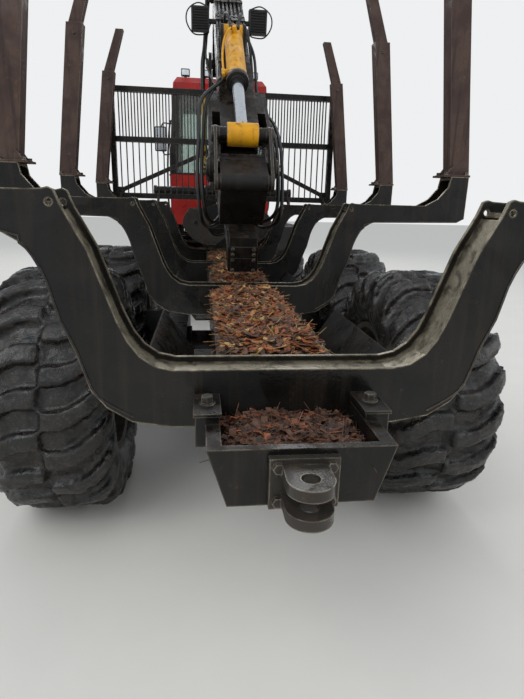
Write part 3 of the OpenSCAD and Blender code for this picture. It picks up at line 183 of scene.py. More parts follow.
def block(low: Point, high: Point, bevel: float = 0.004, segments: int = 2) -> bpy.types.Object:
    """Makes a box between two corners with its edges rounded.

    Args:
        low: lowest corner.
        high: highest corner.
        bevel: width of the rounding.
        segments: steps in the rounding.
    Returns:
        The new object, settled.
    """
    clear()
    low, high = Vector(low), Vector(high)
    bpy.ops.mesh.primitive_cube_add(size=1, location=(low + high) / 2)
    obj = bpy.context.object
    obj.scale = high - low
    settle(obj)
    if bevel > 0:
        apply_modifier(obj, "BEVEL", width=bevel, segments=segments, limit_method="ANGLE")
    return obj


def bar(a: Point, b: Point, radius: float, sides: int = 20, far: float | None = None,
        chamfer: float = 0.0) -> bpy.types.Object:
    """Makes a round bar or cone between two points.

    Args:
        a: middle of the first end.
        b: middle of the second end.
        radius: radius at a.
        sides: faces round the bar.
        far: radius at b, where it differs.
        chamfer: width of the chamfer on its end edges.
    Returns:
        The new object, settled.
    """
    clear()
    a, b = Vector(a), Vector(b)
    run = b - a
    bpy.ops.mesh.primitive_cone_add(vertices=sides, radius1=radius,
                                    radius2=radius if far is None else far,
                                    depth=run.length, location=(a + b) / 2)
    obj = bpy.context.object
    obj.rotation_euler = run.to_track_quat("Z", "Y").to_euler()
    settle(obj)
    if chamfer > 0:
        apply_modifier(obj, "BEVEL", width=chamfer, segments=2, limit_method="ANGLE",
                       angle_limit=math.radians(50))
    return obj


def through(points: Sequence[Point], steps: int = 6) -> list[Vector]:
    """A smooth run through points, with some steps between each two.

    Args:
        points: the points that the run passes.
        steps: pieces between two points.
    Returns:
        The run's points.
    """
    p = [Vector(q) for q in points]
    p = [2 * p[0] - p[1]] + p + [2 * p[-1] - p[-2]]
    run = []
    for i in range(1, len(p) - 2):
        for k in range(steps):
            t = k / steps
            run.append(0.5 * ((2 * p[i]) + (p[i + 1] - p[i - 1]) * t
                              + (2 * p[i - 1] - 5 * p[i] + 4 * p[i + 1] - p[i + 2]) * t * t
                              + (3 * p[i] - p[i - 1] - 3 * p[i + 1] + p[i + 2]) * t ** 3))
    run.append(p[-2])
    return run


def tube(points: Sequence[Point], radius: float, steps: int = 6, sides: int = 1) -> bpy.types.Object:
    """Makes a round tube along a smooth run through points.

    Args:
        points: the points that its middle passes.
        radius: its radius.
        steps: pieces between two points, or 1 for straight runs.
        sides: bevel resolution, 1 for eight faces round it.
    Returns:
        The new mesh object.
    """
    clear()
    run = through(points, steps)
    line = bpy.data.curves.new("run", "CURVE")
    line.dimensions = "3D"
    line.bevel_depth = radius
    line.bevel_resolution = sides
    line.use_fill_caps = True
    spline = line.splines.new("POLY")
    spline.points.add(len(run) - 1)
    for i, q in enumerate(run):
        spline.points[i].co = (*q, 1)
    obj = bpy.data.objects.new("run", line)
    bpy.context.scene.collection.objects.link(obj)
    only(obj)
    bpy.ops.object.convert(target="MESH")
    obj = bpy.context.object
    for face in obj.data.polygons:
        face.use_smooth = True
    return obj


def join(parts: Sequence[bpy.types.Object], name: str) -> bpy.types.Object:
    """Joins several objects into one with a name."""
    only(parts[0])
    for obj in parts[1:]:
        obj.select_set(True)
    if len(parts) > 1:
        bpy.ops.object.join()
    obj = bpy.context.object
    obj.name = obj.data.name = name
    return obj


def repeat(master: bpy.types.Object, places: Iterable[Matrix], name: str,
           rng: np.random.Generator | None = None, tone: tuple = (0.0, 1.0)) -> bpy.types.Object:
    """Copies a small mesh to many places in one new mesh, and removes the original.

    Args:
        master: the object that is copied, settled.
        places: one matrix for each copy.
        name: the new object's name.
        rng: where given, each copy gets a random value of its own in the attribute "tone".
        tone: the lowest and highest of those values.
    Returns:
        The new object.
    """
    shape = np.array([v.co for v in master.data.vertices], float)
    faces = [tuple(f.vertices) for f in master.data.polygons]
    soft = [f.use_smooth for f in master.data.polygons]
    points, polygons, tones = [], [], []
    for place in places:
        m = np.array(place)
        base = len(points) * len(shape)
        points.append(shape @ m[:3, :3].T + m[:3, 3])
        polygons += [tuple(i + base for i in f) for f in faces]
        tones.append(np.full(len(shape), rng.uniform(*tone) if rng is not None else 0.0))
    mesh = bpy.data.meshes.new(name)
    mesh.from_pydata(np.vstack(points).tolist(), [], polygons)
    mesh.polygons.foreach_set("use_smooth", soft * len(points))
    if rng is not None:
        mesh.attributes.new("tone", "FLOAT", "POINT").data.foreach_set("value", np.concatenate(tones))
    mesh.update()
    obj = bpy.data.objects.new(name, mesh)
    bpy.context.scene.collection.objects.link(obj)
    bpy.data.objects.remove(master)
    return obj


def facing(direction: Point, at: Point, turn: float = 0.0, size: float = 1.0) -> Matrix:
    """A place whose own Z points along a direction.

    Args:
        direction: where the copy's Z points.
        at: where its origin goes.
        turn: turn about that direction, in radians.
        size: scale of the copy.
    Returns:
        The 4x4 matrix.
    """
    tilt = Vector(direction).to_track_quat("Z", "Y").to_matrix().to_4x4()
    return Matrix.Translation(Vector(at)) @ tilt @ Matrix.Rotation(turn, 4, "Z") @ Matrix.Scale(size, 4)


def dress(obj: bpy.types.Object, body: str, finish: str) -> bpy.types.Object:
    """Gives a piece its finish and the body that it rides on.

    Args:
        obj: the piece.
        body: the body.
        finish: the finish's name.
    Returns:
        The piece.
    """
    obj.data.materials.clear()
    obj.data.materials.append(FINISHES[finish])
    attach(obj, body)
    LOG.info("%s: %d faces on %s", obj.name, len(obj.data.polygons), body)
    return obj


def piece(parts: Sequence[bpy.types.Object], name: str, body: str, finish: str,
          soft: float = 0.0) -> bpy.types.Object:
    """Joins parts in one named piece, smooths edges flatter than soft degrees, and dresses it."""
    obj = join(parts, name)
    if soft > 0:
        smooth(obj, soft)
    return dress(obj, body, finish)


# ---- finishes --------------------------------------------------------------------------------

def add_node(tree: bpy.types.NodeTree, kind: str, inputs: dict | None = None, **settings: object,
             ) -> bpy.types.Node:
    """Adds one node with its settings and links.

    Args:
        tree: the material's node tree.
        kind: the node's type.
        inputs: for each socket's name or number, a value or the output socket linked to it.
        settings: values for the node's own properties.
    Returns:
        The new node.
    """
    made = tree.nodes.new(kind)
    for name, value in settings.items():
        setattr(made, name, value)
    for socket, value in (inputs or {}).items():
        if isinstance(value, bpy.types.NodeSocket):
            tree.links.new(value, made.inputs[socket])
        else:
            made.inputs[socket].default_value = value
    return made


def per_metre(mm: float) -> float:
    """The scale of a pattern whose features are that many millimetres apart."""
    return 1000.0 / mm


class Weathering:
    """Masks and patterns that the finishes share, made in one material's node tree."""

    def __init__(self, name: str) -> None:
        """Starts a material with that name, and reads object coordinates and the surface's normal."""
        self.material = bpy.data.materials.new(name)
        self.material.use_nodes = True
        self.tree = self.material.node_tree
        self.tree.nodes.clear()
        self.where = self.add("ShaderNodeTexCoord").outputs["Object"]
        self.normal = self.add("ShaderNodeNewGeometry").outputs["Normal"]

    def add(self, kind: str, inputs: dict | None = None, **settings: object) -> bpy.types.Node:
        """Adds one node to this material."""
        return add_node(self.tree, kind, inputs, **settings)

    def cloud(self, mm: float, detail: float = 4.0, warp: float = 0.0, stretch: Point = (1, 1, 1),
              ) -> bpy.types.NodeSocket:
        """Noise whose features are some millimetres across, from 0 to 1.

        Args:
            mm: size of a feature.
            detail: how many finer layers it has.
            warp: distortion.
            stretch: scale along x, y and z before the size.
        Returns:
            The value's socket.
        """
        at = self.add("ShaderNodeMapping", {"Vector": self.where, "Scale": stretch}).outputs[0]
        return self.add("ShaderNodeTexNoise", {"Vector": at, "Scale": per_metre(mm), "Detail": detail,
                                               "Roughness": 0.58, "Distortion": warp}).outputs[0]

    def ramp(self, value: bpy.types.NodeSocket, low: float, high: float, to_low: float = 0.0,
             to_high: float = 1.0) -> bpy.types.NodeSocket:
        """A soft step of a value from low to high."""
        return self.add("ShaderNodeMapRange", {"Value": value, "From Min": low, "From Max": high,
                                               "To Min": to_low, "To Max": to_high},
                        interpolation_type="SMOOTHSTEP").outputs[0]

    def calc(self, kind: str, a: object, b: object = 0.0) -> bpy.types.NodeSocket:
        """One sum of two values."""
        return self.add("ShaderNodeMath", {0: a, 1: b}, operation=kind, use_clamp=kind != "POWER").outputs[0]

    def mix(self, share: object, a: object, b: object) -> bpy.types.NodeSocket:
        """A colour between a and b."""
        return self.add("ShaderNodeMix", {0: share, 6: a, 7: b}, data_type="RGBA").outputs[2]

    def blend(self, share: object, a: float, b: object) -> bpy.types.NodeSocket:
        """A value between a and b."""
        return self.add("ShaderNodeMix", {0: share, 2: a, 3: b}, data_type="FLOAT").outputs[0]

    def edges(self, mm: float) -> bpy.types.NodeSocket:
        """How near a point is to an outside or inside edge, from 0 to 1."""
        rounded = self.add("ShaderNodeBevel", {"Radius": mm / 1000}, samples=4).outputs[0]
        along = self.add("ShaderNodeVectorMath", {0: rounded, 1: self.normal}, operation="DOT_PRODUCT")
        return self.ramp(along.outputs["Value"], 0.985, 0.80)

    def part(self, axis: int) -> bpy.types.NodeSocket:
        """One part of the surface's normal."""
        return self.add("ShaderNodeSeparateXYZ", {0: self.normal}).outputs[axis]

    def bump(self, layers: Sequence[tuple[bpy.types.NodeSocket, float]]) -> bpy.types.NodeSocket:
        """A normal with several layers of relief, each a height and its depth in millimetres."""
        normal = None
        for height, depth in layers:
            inputs = {"Height": height, "Distance": depth / 1000, "Strength": 1.0}
            if normal is not None:
                inputs["Normal"] = normal
            normal = self.add("ShaderNodeBump", inputs).outputs[0]
        return normal

    def done(self, **sockets: object) -> bpy.types.Material:
        """Adds the surface shader with its sockets, named with underscores, and returns the material."""
        inputs = {name.replace("_", " "): value for name, value in sockets.items()}
        shader = self.add("ShaderNodeBsdfPrincipled", inputs)
        self.add("ShaderNodeOutputMaterial", {"Surface": shader.outputs[0]})
        return self.material


@dataclass(frozen=True)
class PaintedPlate:
    """Sprayed enamel on hot-rolled plate: satin where it is whole, worn to steel along its edges,
    rusting round the bare places, with dirt on what looks up and runs of water down its sides."""

    name: str
    paint: str
    faded: str
    rust: str
    bare: str
    grime: str
    gloss: float = 0.42
    edge_mm: float = 7.0
    edge_wear: float = 0.6
    chips: float = 0.25
    silt: float = 0.6
    runs: float = 0.35
    wet: float = 0.4
    patch_mm: float = 170.0
    grit_mm: float = 5.0
    rubbed: float = 0.0
    rubbed_dark: str = "#5a5347"
    dark_band: tuple = ()
    sheen: float = 0.3

    def material(self) -> bpy.types.Material:
        """Makes the material."""
        w = Weathering(self.name)
        tone = w.ramp(w.cloud(self.patch_mm, 3, 0.6), 0.36, 0.66)
        smear = w.cloud(46, 6, 0.5)
        grit = w.cloud(self.grit_mm, 3)
        run = w.cloud(34, 4, 0.2, (1, 1, 0.05))
        broken = w.calc("ADD", w.calc("MULTIPLY", smear, 0.7), w.calc("MULTIPLY", grit, 0.3))
        # bare along the edges, and in chips where the broken pattern is high
        near = w.edges(self.edge_mm)
        worn = w.ramp(w.calc("MULTIPLY", near, w.calc("ADD", broken, self.edge_wear - 0.1)), 0.34, 0.62)
        chip = w.ramp(broken, 0.72 - 0.24 * self.chips, 0.76 - 0.20 * self.chips)
        halo = w.ramp(broken, 0.66 - 0.34 * self.chips, 0.78 - 0.22 * self.chips)
        bared = w.calc("MAXIMUM", worn, w.calc("MULTIPLY", chip, 0.55))
        if self.rubbed > 0:
            # logs rub bright what looks up and in towards the centre line
            side = w.add("ShaderNodeSeparateXYZ", {0: w.where}).outputs[0]
            inward = w.add("ShaderNodeMath", {0: w.part(0), 1: side}, operation="MULTIPLY").outputs[0]
            open_face = w.calc("MAXIMUM", w.ramp(inward, -0.05, -0.32), w.ramp(w.part(2), 0.25, 0.6))
            bright = w.ramp(broken, 0.62 - 0.5 * self.rubbed, 0.66)
            bared = w.calc("MAXIMUM", bared, w.calc("MULTIPLY", open_face, bright))
        rusty = w.calc("MAXIMUM", halo, w.calc("MULTIPLY", near, w.ramp(smear, 0.42, 0.62)))
        colour = w.mix(tone, linear(self.paint), linear(self.faded))
        if self.dark_band:
            # the posts and frames between the sill and the roof are black
            low, high = self.dark_band
            height = w.add("ShaderNodeSeparateXYZ", {0: w.where}).outputs[2]
            band = w.calc("MULTIPLY", w.ramp(height, low, low + 0.004), w.ramp(height, high + 0.004, high))
            colour = w.mix(band, colour, linear("#151515"))
        colour = w.mix(w.calc("MULTIPLY", w.ramp(run, 0.5, 0.66), self.runs), colour, linear(self.grime))
        colour = w.mix(w.calc("MULTIPLY", rusty, 0.8), colour,
                       w.mix(w.ramp(grit, 0.4, 0.62), linear(self.rust), linear(self.grime)))
        metal = w.mix(w.ramp(smear, 0.35, 0.7), linear(self.bare), linear(self.rubbed_dark))
        colour = w.mix(bared, colour, metal)
        # silt lies on what looks up
        dirt = w.calc("MULTIPLY", w.ramp(w.part(2), 0.35, 0.9), w.ramp(broken, 0.66 - 0.4 * self.silt, 0.62))
        dirt = w.calc("MULTIPLY", dirt, self.silt)
        colour = w.mix(dirt, colour, linear(self.grime))
        film = w.ramp(w.cloud(260, 3, 0.8), 0.62 - 0.3 * self.wet, 0.66 - 0.1 * self.wet)
        rough = w.blend(film, self.gloss + 0.14, max(self.gloss - 0.2, 0.1))
        rough = w.blend(rusty, rough, 0.66)
        rough = w.blend(bared, rough, 0.34)
        rough = w.blend(dirt, rough, 0.88)
        relief = w.bump([(smear, 1.6), (grit, 0.5)])
        return w.done(Base_Color=colour, Metallic=w.calc("MULTIPLY", bared, 0.85), Roughness=rough,
                      Specular_IOR_Level=self.sheen, Normal=relief)


@dataclass(frozen=True)
class MudRubber:
    """Natural rubber under packed forest mud: black to grey brown, lumpy, and wet in patches."""

    name: str = "tyre_rubber"
    rubber: str = "#0c0c0c"
    mud: str = "#221e1b"
    dried: str = "#413b35"
    leaf: str = "#4a2f1a"

    def material(self) -> bpy.types.Material:
        """Makes the material."""
        w = Weathering(self.name)
        lump = w.cloud(75, 6, 0.5)
        clod = w.cloud(16, 5, 0.3)
        fleck = w.cloud(4, 2)
        colour = w.mix(w.ramp(lump, 0.38, 0.62), linear(self.rubber), linear(self.mud))
        colour = w.mix(w.calc("MULTIPLY", w.ramp(clod, 0.52, 0.7), 0.7), colour, linear(self.dried))
        leaves = w.calc("MULTIPLY", w.ramp(w.cloud(30, 6, 0.9), 0.64, 0.7), 0.6)
        colour = w.mix(leaves, colour, linear(self.leaf))
        film = w.ramp(w.cloud(120, 4, 0.8), 0.36, 0.56)
        rough = w.blend(film, 0.58, 0.2)
        relief = w.bump([(lump, 4.0), (clod, 3.0), (fleck, 1.0)])
        return w.done(Base_Color=colour, Roughness=rough, Normal=relief)


@dataclass(frozen=True)
class HardChrome:
    """Hard chrome plate on a ground rod: a near mirror with fine turning marks and an oil film."""

    name: str = "rod_chrome"
    plate: str = "#c9ccd0"
    oil: str = "#6d6455"

    def material(self) -> bpy.types.Material:
        """Makes the material."""
        w = Weathering(self.name)
        film = w.ramp(w.cloud(40, 4, 0.4), 0.5, 0.75)
        colour = w.mix(w.calc("MULTIPLY", film, 0.45), linear(self.plate), linear(self.oil))
        marks = w.cloud(2.5, 2)
        return w.done(Base_Color=colour, Metallic=1.0, Roughness=w.blend(film, 0.14, 0.3),
                      Normal=w.bump([(marks, 0.04)]))


@dataclass(frozen=True)
class SafetyGlass:
    """Laminated safety glass: clear with a green cast, dust towards its edges."""

    name: str = "window_glass"
    tint: str = "#c4d2cc"
    dust: str = "#8f897c"

    def material(self) -> bpy.types.Material:
        """Makes the material."""
        w = Weathering(self.name)
        dusty = w.ramp(w.cloud(90, 6, 0.6), 0.5, 0.8)
        colour = w.mix(w.calc("MULTIPLY", dusty, 0.5), linear(self.tint), linear(self.dust))
        return w.done(Base_Color=colour, Transmission_Weight=0.92, IOR=1.5,
                      Roughness=w.blend(dusty, 0.03, 0.22))


@dataclass(frozen=True)
class Moulded:
    """Moulded polymer or rubber with a fine cast grain, dusty where it is rough."""

    name: str
    base: str
    worn: str
    grain_mm: float = 2.5
    rough: float = 0.55
    depth_mm: float = 0.2

    def material(self) -> bpy.types.Material:
        """Makes the material."""
        w = Weathering(self.name)
        grain = w.cloud(self.grain_mm, 2)
        dust = w.ramp(w.cloud(60, 5, 0.6), 0.45, 0.72)
        colour = w.mix(w.calc("MULTIPLY", dust, 0.6), linear(self.base), linear(self.worn))
        colour = w.mix(w.calc("MULTIPLY", w.edges(3), 0.4), colour, linear(self.worn))
        return w.done(Base_Color=colour, Roughness=w.blend(dust, self.rough, min(self.rough + 0.25, 0.95)),
                      Normal=w.bump([(grain, self.depth_mm)]))


@dataclass(frozen=True)
class LampGlass:
    """Pressed lens glass in front of a bright reflector."""

    name: str = "lamp_lens"
    glass: str = "#dfe6ea"

    def material(self) -> bpy.types.Material:
        """Makes the material."""
        w = Weathering(self.name)
        flute = w.add("ShaderNodeTexWave", {"Vector": w.where, "Scale": per_metre(60), "Distortion": 0.4},
                      bands_direction="X").outputs[1]
        film = w.ramp(w.cloud(30, 4), 0.4, 0.8)
        return w.done(Base_Color=w.mix(w.calc("MULTIPLY", film, 0.35), linear(self.glass), linear("#8e8a80")),
                      Metallic=0.35, Roughness=w.blend(film, 0.08, 0.3), Normal=w.bump([(flute, 0.8)]))


@dataclass(frozen=True)
class Litter:
    """Bark, needles and last year's leaves: each piece has its own brown, from its "tone"."""

    name: str = "forest_litter"
    dark: str = "#2c1c13"
    bark: str = "#5d3d2a"
    leaf: str = "#a85a2b"
    straw: str = "#b8965f"

    def material(self) -> bpy.types.Material:
        """Makes the material."""
        w = Weathering(self.name)
        tone = w.add("ShaderNodeAttribute", attribute_name="tone").outputs["Fac"]
        fleck = w.cloud(7, 4, 0.4)
        colour = w.mix(w.ramp(tone, 0.05, 0.45), linear(self.dark), linear(self.bark))
        colour = w.mix(w.ramp(tone, 0.55, 0.82), colour, linear(self.leaf))
        colour = w.mix(w.ramp(tone, 0.84, 0.94), colour, linear(self.straw))
        colour = w.mix(w.calc("MULTIPLY", w.ramp(fleck, 0.35, 0.65), 0.45), colour, linear(self.dark))
        return w.done(Base_Color=colour, Roughness=w.ramp(fleck, 0.3, 0.7, 0.5, 0.85),
                      Normal=w.bump([(fleck, 1.0)]))


class Paint(Enum):
    """The finishes of the machine's own steel."""

    WEATHERED = PaintedPlate("weathered_steel", "#0e0d0d", "#171513", "#35261b", "#7f766a", "#30271f",
                             gloss=0.38, chips=0.3, silt=0.6, runs=0.35, wet=0.7)
    BUNK = PaintedPlate("weathered_steel_bunk", "#0f0f0e", "#191715", "#38281a", "#b0a68f", "#2c241c",
                        gloss=0.34, edge_mm=9.0, edge_wear=0.9, chips=0.22, silt=0.25, runs=0.4, wet=0.8,
                        rubbed=0.9)
    STAKE = PaintedPlate("stake_steel", "#3a2a26", "#4b3a33", "#5a3a2a", "#6f6359", "#2b211d",
                         gloss=0.55, edge_wear=0.55, chips=0.5, silt=0.2, runs=0.75, wet=0.25)
    BARE = PaintedPlate("bare_steel", "#2a2825", "#38342f", "#4b3628", "#a39a8c", "#332b24",
                        gloss=0.36, edge_wear=0.8, chips=0.45, silt=0.3, runs=0.3, wet=0.6)
    YELLOW = PaintedPlate("yellow_paint", "#d99a12", "#c08a1c", "#5c3a1c", "#6e6558", "#3d3020",
                          gloss=0.34, edge_wear=0.45, chips=0.28, silt=0.3, runs=0.35, wet=0.3)
    RED = PaintedPlate("red_paint", "#a61d17", "#8f1a16", "#4a2a1c", "#6e665c", "#3a2c22",
                       gloss=0.3, edge_wear=0.2, chips=0.08, silt=0.45, runs=0.25, wet=0.3)
    BLACK = PaintedPlate("black_paint", "#141414", "#201f1f", "#3a2a20", "#6b645b", "#38312a",
                         gloss=0.36, edge_wear=0.35, chips=0.18, silt=0.6, runs=0.3, wet=0.45)
    CAB = PaintedPlate("red_paint_cab", "#a61d17", "#8f1a16", "#4a2a1c", "#6e665c", "#3a2c22",
                       gloss=0.3, edge_wear=0.2, chips=0.08, silt=0.4, runs=0.25, wet=0.3,
                       dark_band=(2.062, 3.130))
    RIM = PaintedPlate("rim_paint", "#35322e", "#45403a", "#4d3728", "#7a7266", "#4a4036",
                       gloss=0.5, edge_wear=0.4, chips=0.4, silt=0.5, runs=0.2, wet=0.4)


def make_finishes() -> None:
    """Makes each finish once."""
    others = (
        MudRubber(), HardChrome(), SafetyGlass(), LampGlass(), Litter(),
        Moulded("cab_trim", "#1d1d1f", "#3a3836", 3.0, 0.7, 0.4),
        Moulded("lamp_plastic", "#141415", "#35322f", 1.5, 0.42),
        Moulded("hose_rubber", "#121212", "#3a352f", 2.5, 0.45, 0.35),
        Moulded("hose_sleeve", "#c8a01c", "#6a5622", 4.0, 0.5, 0.8),
        Moulded("seal_rubber", "#0f0f10", "#2a2826", 2.0, 0.6),
    )
    for finish in [*(paint.value for paint in Paint), *others]:
        FINISHES[finish.name] = finish.material()


def dress_frame(frame: dict) -> None:
    """Gives each solid of the frame the finish of its slot, and a few a finish of their own."""
    slots = {s["node"]: s["material_slot"] for s in frame["record"]["subparts"]}
    for name, obj in frame["nodes"].items():
        material = FINISHES[OWN_FINISH.get(name, slots[name])]
        if not obj.data.materials:
            obj.data.materials.append(material)
        for i in range(len(obj.data.materials)):
            obj.data.materials[i] = material


# ---- studio ----------------------------------------------------------------------------------

@dataclass
class Studio:
    """The photograph's view, a pale floor and soft light."""

    spot: Point = (-0.244, -5.741, 1.66)
    yaw: float = 6.87
    pitch: float = 15.74
    roll: float = 1.49
    lens: float = 26.0

    def camera(self) -> None:
        """Places the camera where the photograph was taken."""
        yaw, pitch, roll = (math.radians(a) for a in (self.yaw, self.pitch, self.roll))
        ahead = Vector((math.sin(yaw) * math.cos(pitch), math.cos(yaw) * math.cos(pitch), -math.sin(pitch)))
        right = Vector((math.cos(yaw), -math.sin(yaw), 0))
        up = right.cross(ahead)
        across = right * math.cos(roll) + up * math.sin(roll)
        above = -right * math.sin(roll) + up * math.cos(roll)
        data = bpy.data.cameras.new("camera")
        data.lens, data.sensor_width, data.clip_end = self.lens, 36.0, 200.0
        cam = bpy.data.objects.new("camera", data)
        bpy.context.scene.collection.objects.link(cam)
        turn = Matrix((across, above, -ahead)).transposed().to_4x4()
        cam.matrix_world = Matrix.Translation(Vector(self.spot)) @ turn
        bpy.context.scene.camera = cam

    def floor(self) -> None:
        """Lays a pale floor."""
        clear()
        bpy.ops.mesh.primitive_plane_add(size=120, location=(0, 0, 0))
        obj = bpy.context.object
        obj.name = "studio_floor"
        w = Weathering("studio_floor")
        grain = w.cloud(400, 3)
        obj.data.materials.append(w.done(Base_Color=w.mix(grain, linear("#d6d3cd"), linear("#dedbd5")),
                                         Roughness=0.9))

    def lights(self) -> None:
        """Sets the world and three large soft lamps."""
        world = bpy.data.worlds.new("studio")
        world.use_nodes = True
        bpy.context.scene.world = world
        tree = world.node_tree
        tree.nodes.clear()
        path = add_node(tree, "ShaderNodeLightPath")
        seen = add_node(tree, "ShaderNodeMath", {0: path.outputs["Is Camera Ray"],
                                                 1: path.outputs["Is Transmission Ray"]}, operation="MAXIMUM")
        sky = add_node(tree, "ShaderNodeBackground", {"Color": (0.90, 0.95, 1.0, 1), "Strength": 0.75})
        pale = add_node(tree, "ShaderNodeBackground", {"Color": (0.86, 0.87, 0.88, 1), "Strength": 1.0})
        both = add_node(tree, "ShaderNodeMixShader",
                        {0: seen.outputs[0], 1: sky.outputs[0], 2: pale.outputs[0]})
        add_node(tree, "ShaderNodeOutputWorld", {"Surface": both.outputs[0]})
        for name, spot, aim, size, power in (
                ("key", (-6, -9, 9), (0, -3, 1), 7, 520),
                ("fill", (8, -6, 6), (0, -2, 1), 8, 260),
                ("back", (0, 10, 9), (0, 0, 1.5), 8, 420)):
            lamp = bpy.data.lights.new(name, "AREA")
            lamp.size, lamp.energy = size, power
            obj = bpy.data.objects.new(name, lamp)
            bpy.context.scene.collection.objects.link(obj)
            obj.location = spot
            obj.rotation_euler = (Vector(aim) - Vector(spot)).to_track_quat("-Z", "Y").to_euler()

    def set_up(self) -> None:
        """Makes the camera, floor and light, with the plain view transform."""
        self.camera()
        self.floor()
        self.lights()
        bpy.context.scene.view_settings.view_transform = "Standard"


# ---- tyres -----------------------------------------------------------------------------------

@dataclass
class MudTyre:
    """One forestry tyre with its slanting lugs worn low and packed with mud."""

    radius: float = 0.665
    lugs: int = 20
    voxel: float = 0.0141
    section: tuple = ((0.0, 0.618), (0.10, 0.616), (0.19, 0.604), (0.245, 0.576), (0.280, 0.53),
                      (0.297, 0.47), (0.292, 0.42), (0.262, 0.375), (0.232, 0.356), (0.212, 0.3385))

    def carcass(self) -> bpy.types.Object:
        """Spins the tyre's section round the axle, which lies along X through the origin."""
        outline = [(-x, r) for x, r in reversed(self.section[1:])] + list(self.section)
        clear()
        bpy.ops.mesh.primitive_circle_add(vertices=len(outline), radius=0.3, fill_type="NOTHING")
        obj = bpy.context.object
        for vertex, (x, r) in zip(obj.data.vertices, outline):
            vertex.co = (x, 0.0, r)
        bpy.ops.object.mode_set(mode="EDIT")
        bpy.ops.mesh.select_all(action="SELECT")
        bpy.ops.mesh.spin(steps=72, angle=2 * math.pi, center=(0, 0, 0), axis=(1, 0, 0))
        bpy.ops.mesh.select_all(action="SELECT")
        bpy.ops.mesh.remove_doubles(threshold=0.0005)
        bpy.ops.mesh.normals_make_consistent(inside=False)
        leave_edit()
        return obj

    def lug(self) -> bpy.types.Object:
        """Extrudes one lug from the middle of the tread, out over the shoulder and down the side."""
        clear()
        bpy.ops.mesh.primitive_cube_add(size=1, location=(0.050, 0, 0.625))
        obj = bpy.context.object
        obj.scale = (0.09, 0.088, 0.076)
        settle(obj)
        for step in ((0.060, 0.024, -0.002), (0.060, 0.044, -0.012), (0.050, 0.036, -0.034),
                     (0.026, 0.018, -0.060), (0.006, 0.006, -0.050)):
            reach = max(v.co.x for v in obj.data.vertices)
            pick_faces(obj, lambda c, n, reach=reach: c.x > reach - 0.001)
            bpy.ops.mesh.extrude_region_move(TRANSFORM_OT_translate={"value": step})
            leave_edit()
        apply_modifier(obj, "BEVEL", width=0.014, segments=2, limit_method="ANGLE")
        return obj

    def mould(self) -> bpy.types.Object:
        """Joins the carcass and its lugs in one skin and packs it with mud."""
        lug = self.lug()
        pitch = 2 * math.pi / self.lugs
        places = [Matrix.Rotation(i * pitch, 4, "X") for i in range(self.lugs)]
        places += [Matrix.Rotation((i + 0.5) * pitch, 4, "X") @ Matrix.Rotation(math.pi, 4, "Z")
                   for i in range(self.lugs)]
        tyre = join([self.carcass(), repeat(lug, places, "lugs")], "tyre")
        apply_modifier(tyre, "REMESH", mode="VOXEL", voxel_size=self.voxel)
        apply_modifier(tyre, "SMOOTH", factor=0.4, iterations=1)
        self.pack(tyre)
        for face in tyre.data.polygons:
            face.use_smooth = True
        return tyre

    def pack(self, tyre: bpy.types.Object) -> None:
        """Moves the skin in and out as clods of mud would, less near the rim."""
        skin = [(vertex.co.copy(), vertex.normal.copy()) for vertex in tyre.data.vertices]
        moved = []
        for at, normal in skin:
            reach = math.hypot(at.y, at.z)
            outer = min(max((reach - 0.37) / 0.12, 0.0), 1.0)
            broad = noise.fractal(at * 9.0, 1.0, 2.0, 3)
            clod = noise.fractal(at * 34.0 + Vector((5, 1, 7)), 1.0, 2.0, 3)
            deep = max(0.0, 0.655 - reach) if abs(at.x) < 0.24 else 0.0
            to = at + normal * outer * (0.006 * broad + 0.004 * clod + 0.15 * min(deep, 0.02))
            reach = math.hypot(to.y, to.z)
            if reach > self.radius:
                to.yz *= self.radius / reach
            moved.extend(to)
        tyre.data.vertices.foreach_set("co", moved)
        tyre.data.update()

    def build(self) -> None:
        """Copies the tyre to the eight wheels, each turned to another place."""
        master = self.mould()
        wheels = [(axle, along, name, side) for axle, along in enumerate(AXLE_Y, 1) for name, side in SIDES]
        for number, (axle, along, name, side) in enumerate(wheels, 1):
            obj = bpy.data.objects.new(f"mud_tyre_{axle}_{name}", master.data.copy())
            bpy.context.scene.collection.objects.link(obj)
            flip = Matrix.Rotation(math.pi, 4, "Z") if side < 0 else Matrix.Identity(4)
            obj.data.transform(Matrix.Translation((side * TRACK, at_y(along), AXLE_Z))
                               @ Matrix.Rotation(0.7 * number, 4, "X") @ flip)
            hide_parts(f"tyre_{axle}_{name}")
            dress(obj, f"wheel_{axle}_{name}", "tyre_rubber")
        bpy.data.objects.remove(master)


# ---- litter ----------------------------------------------------------------------------------

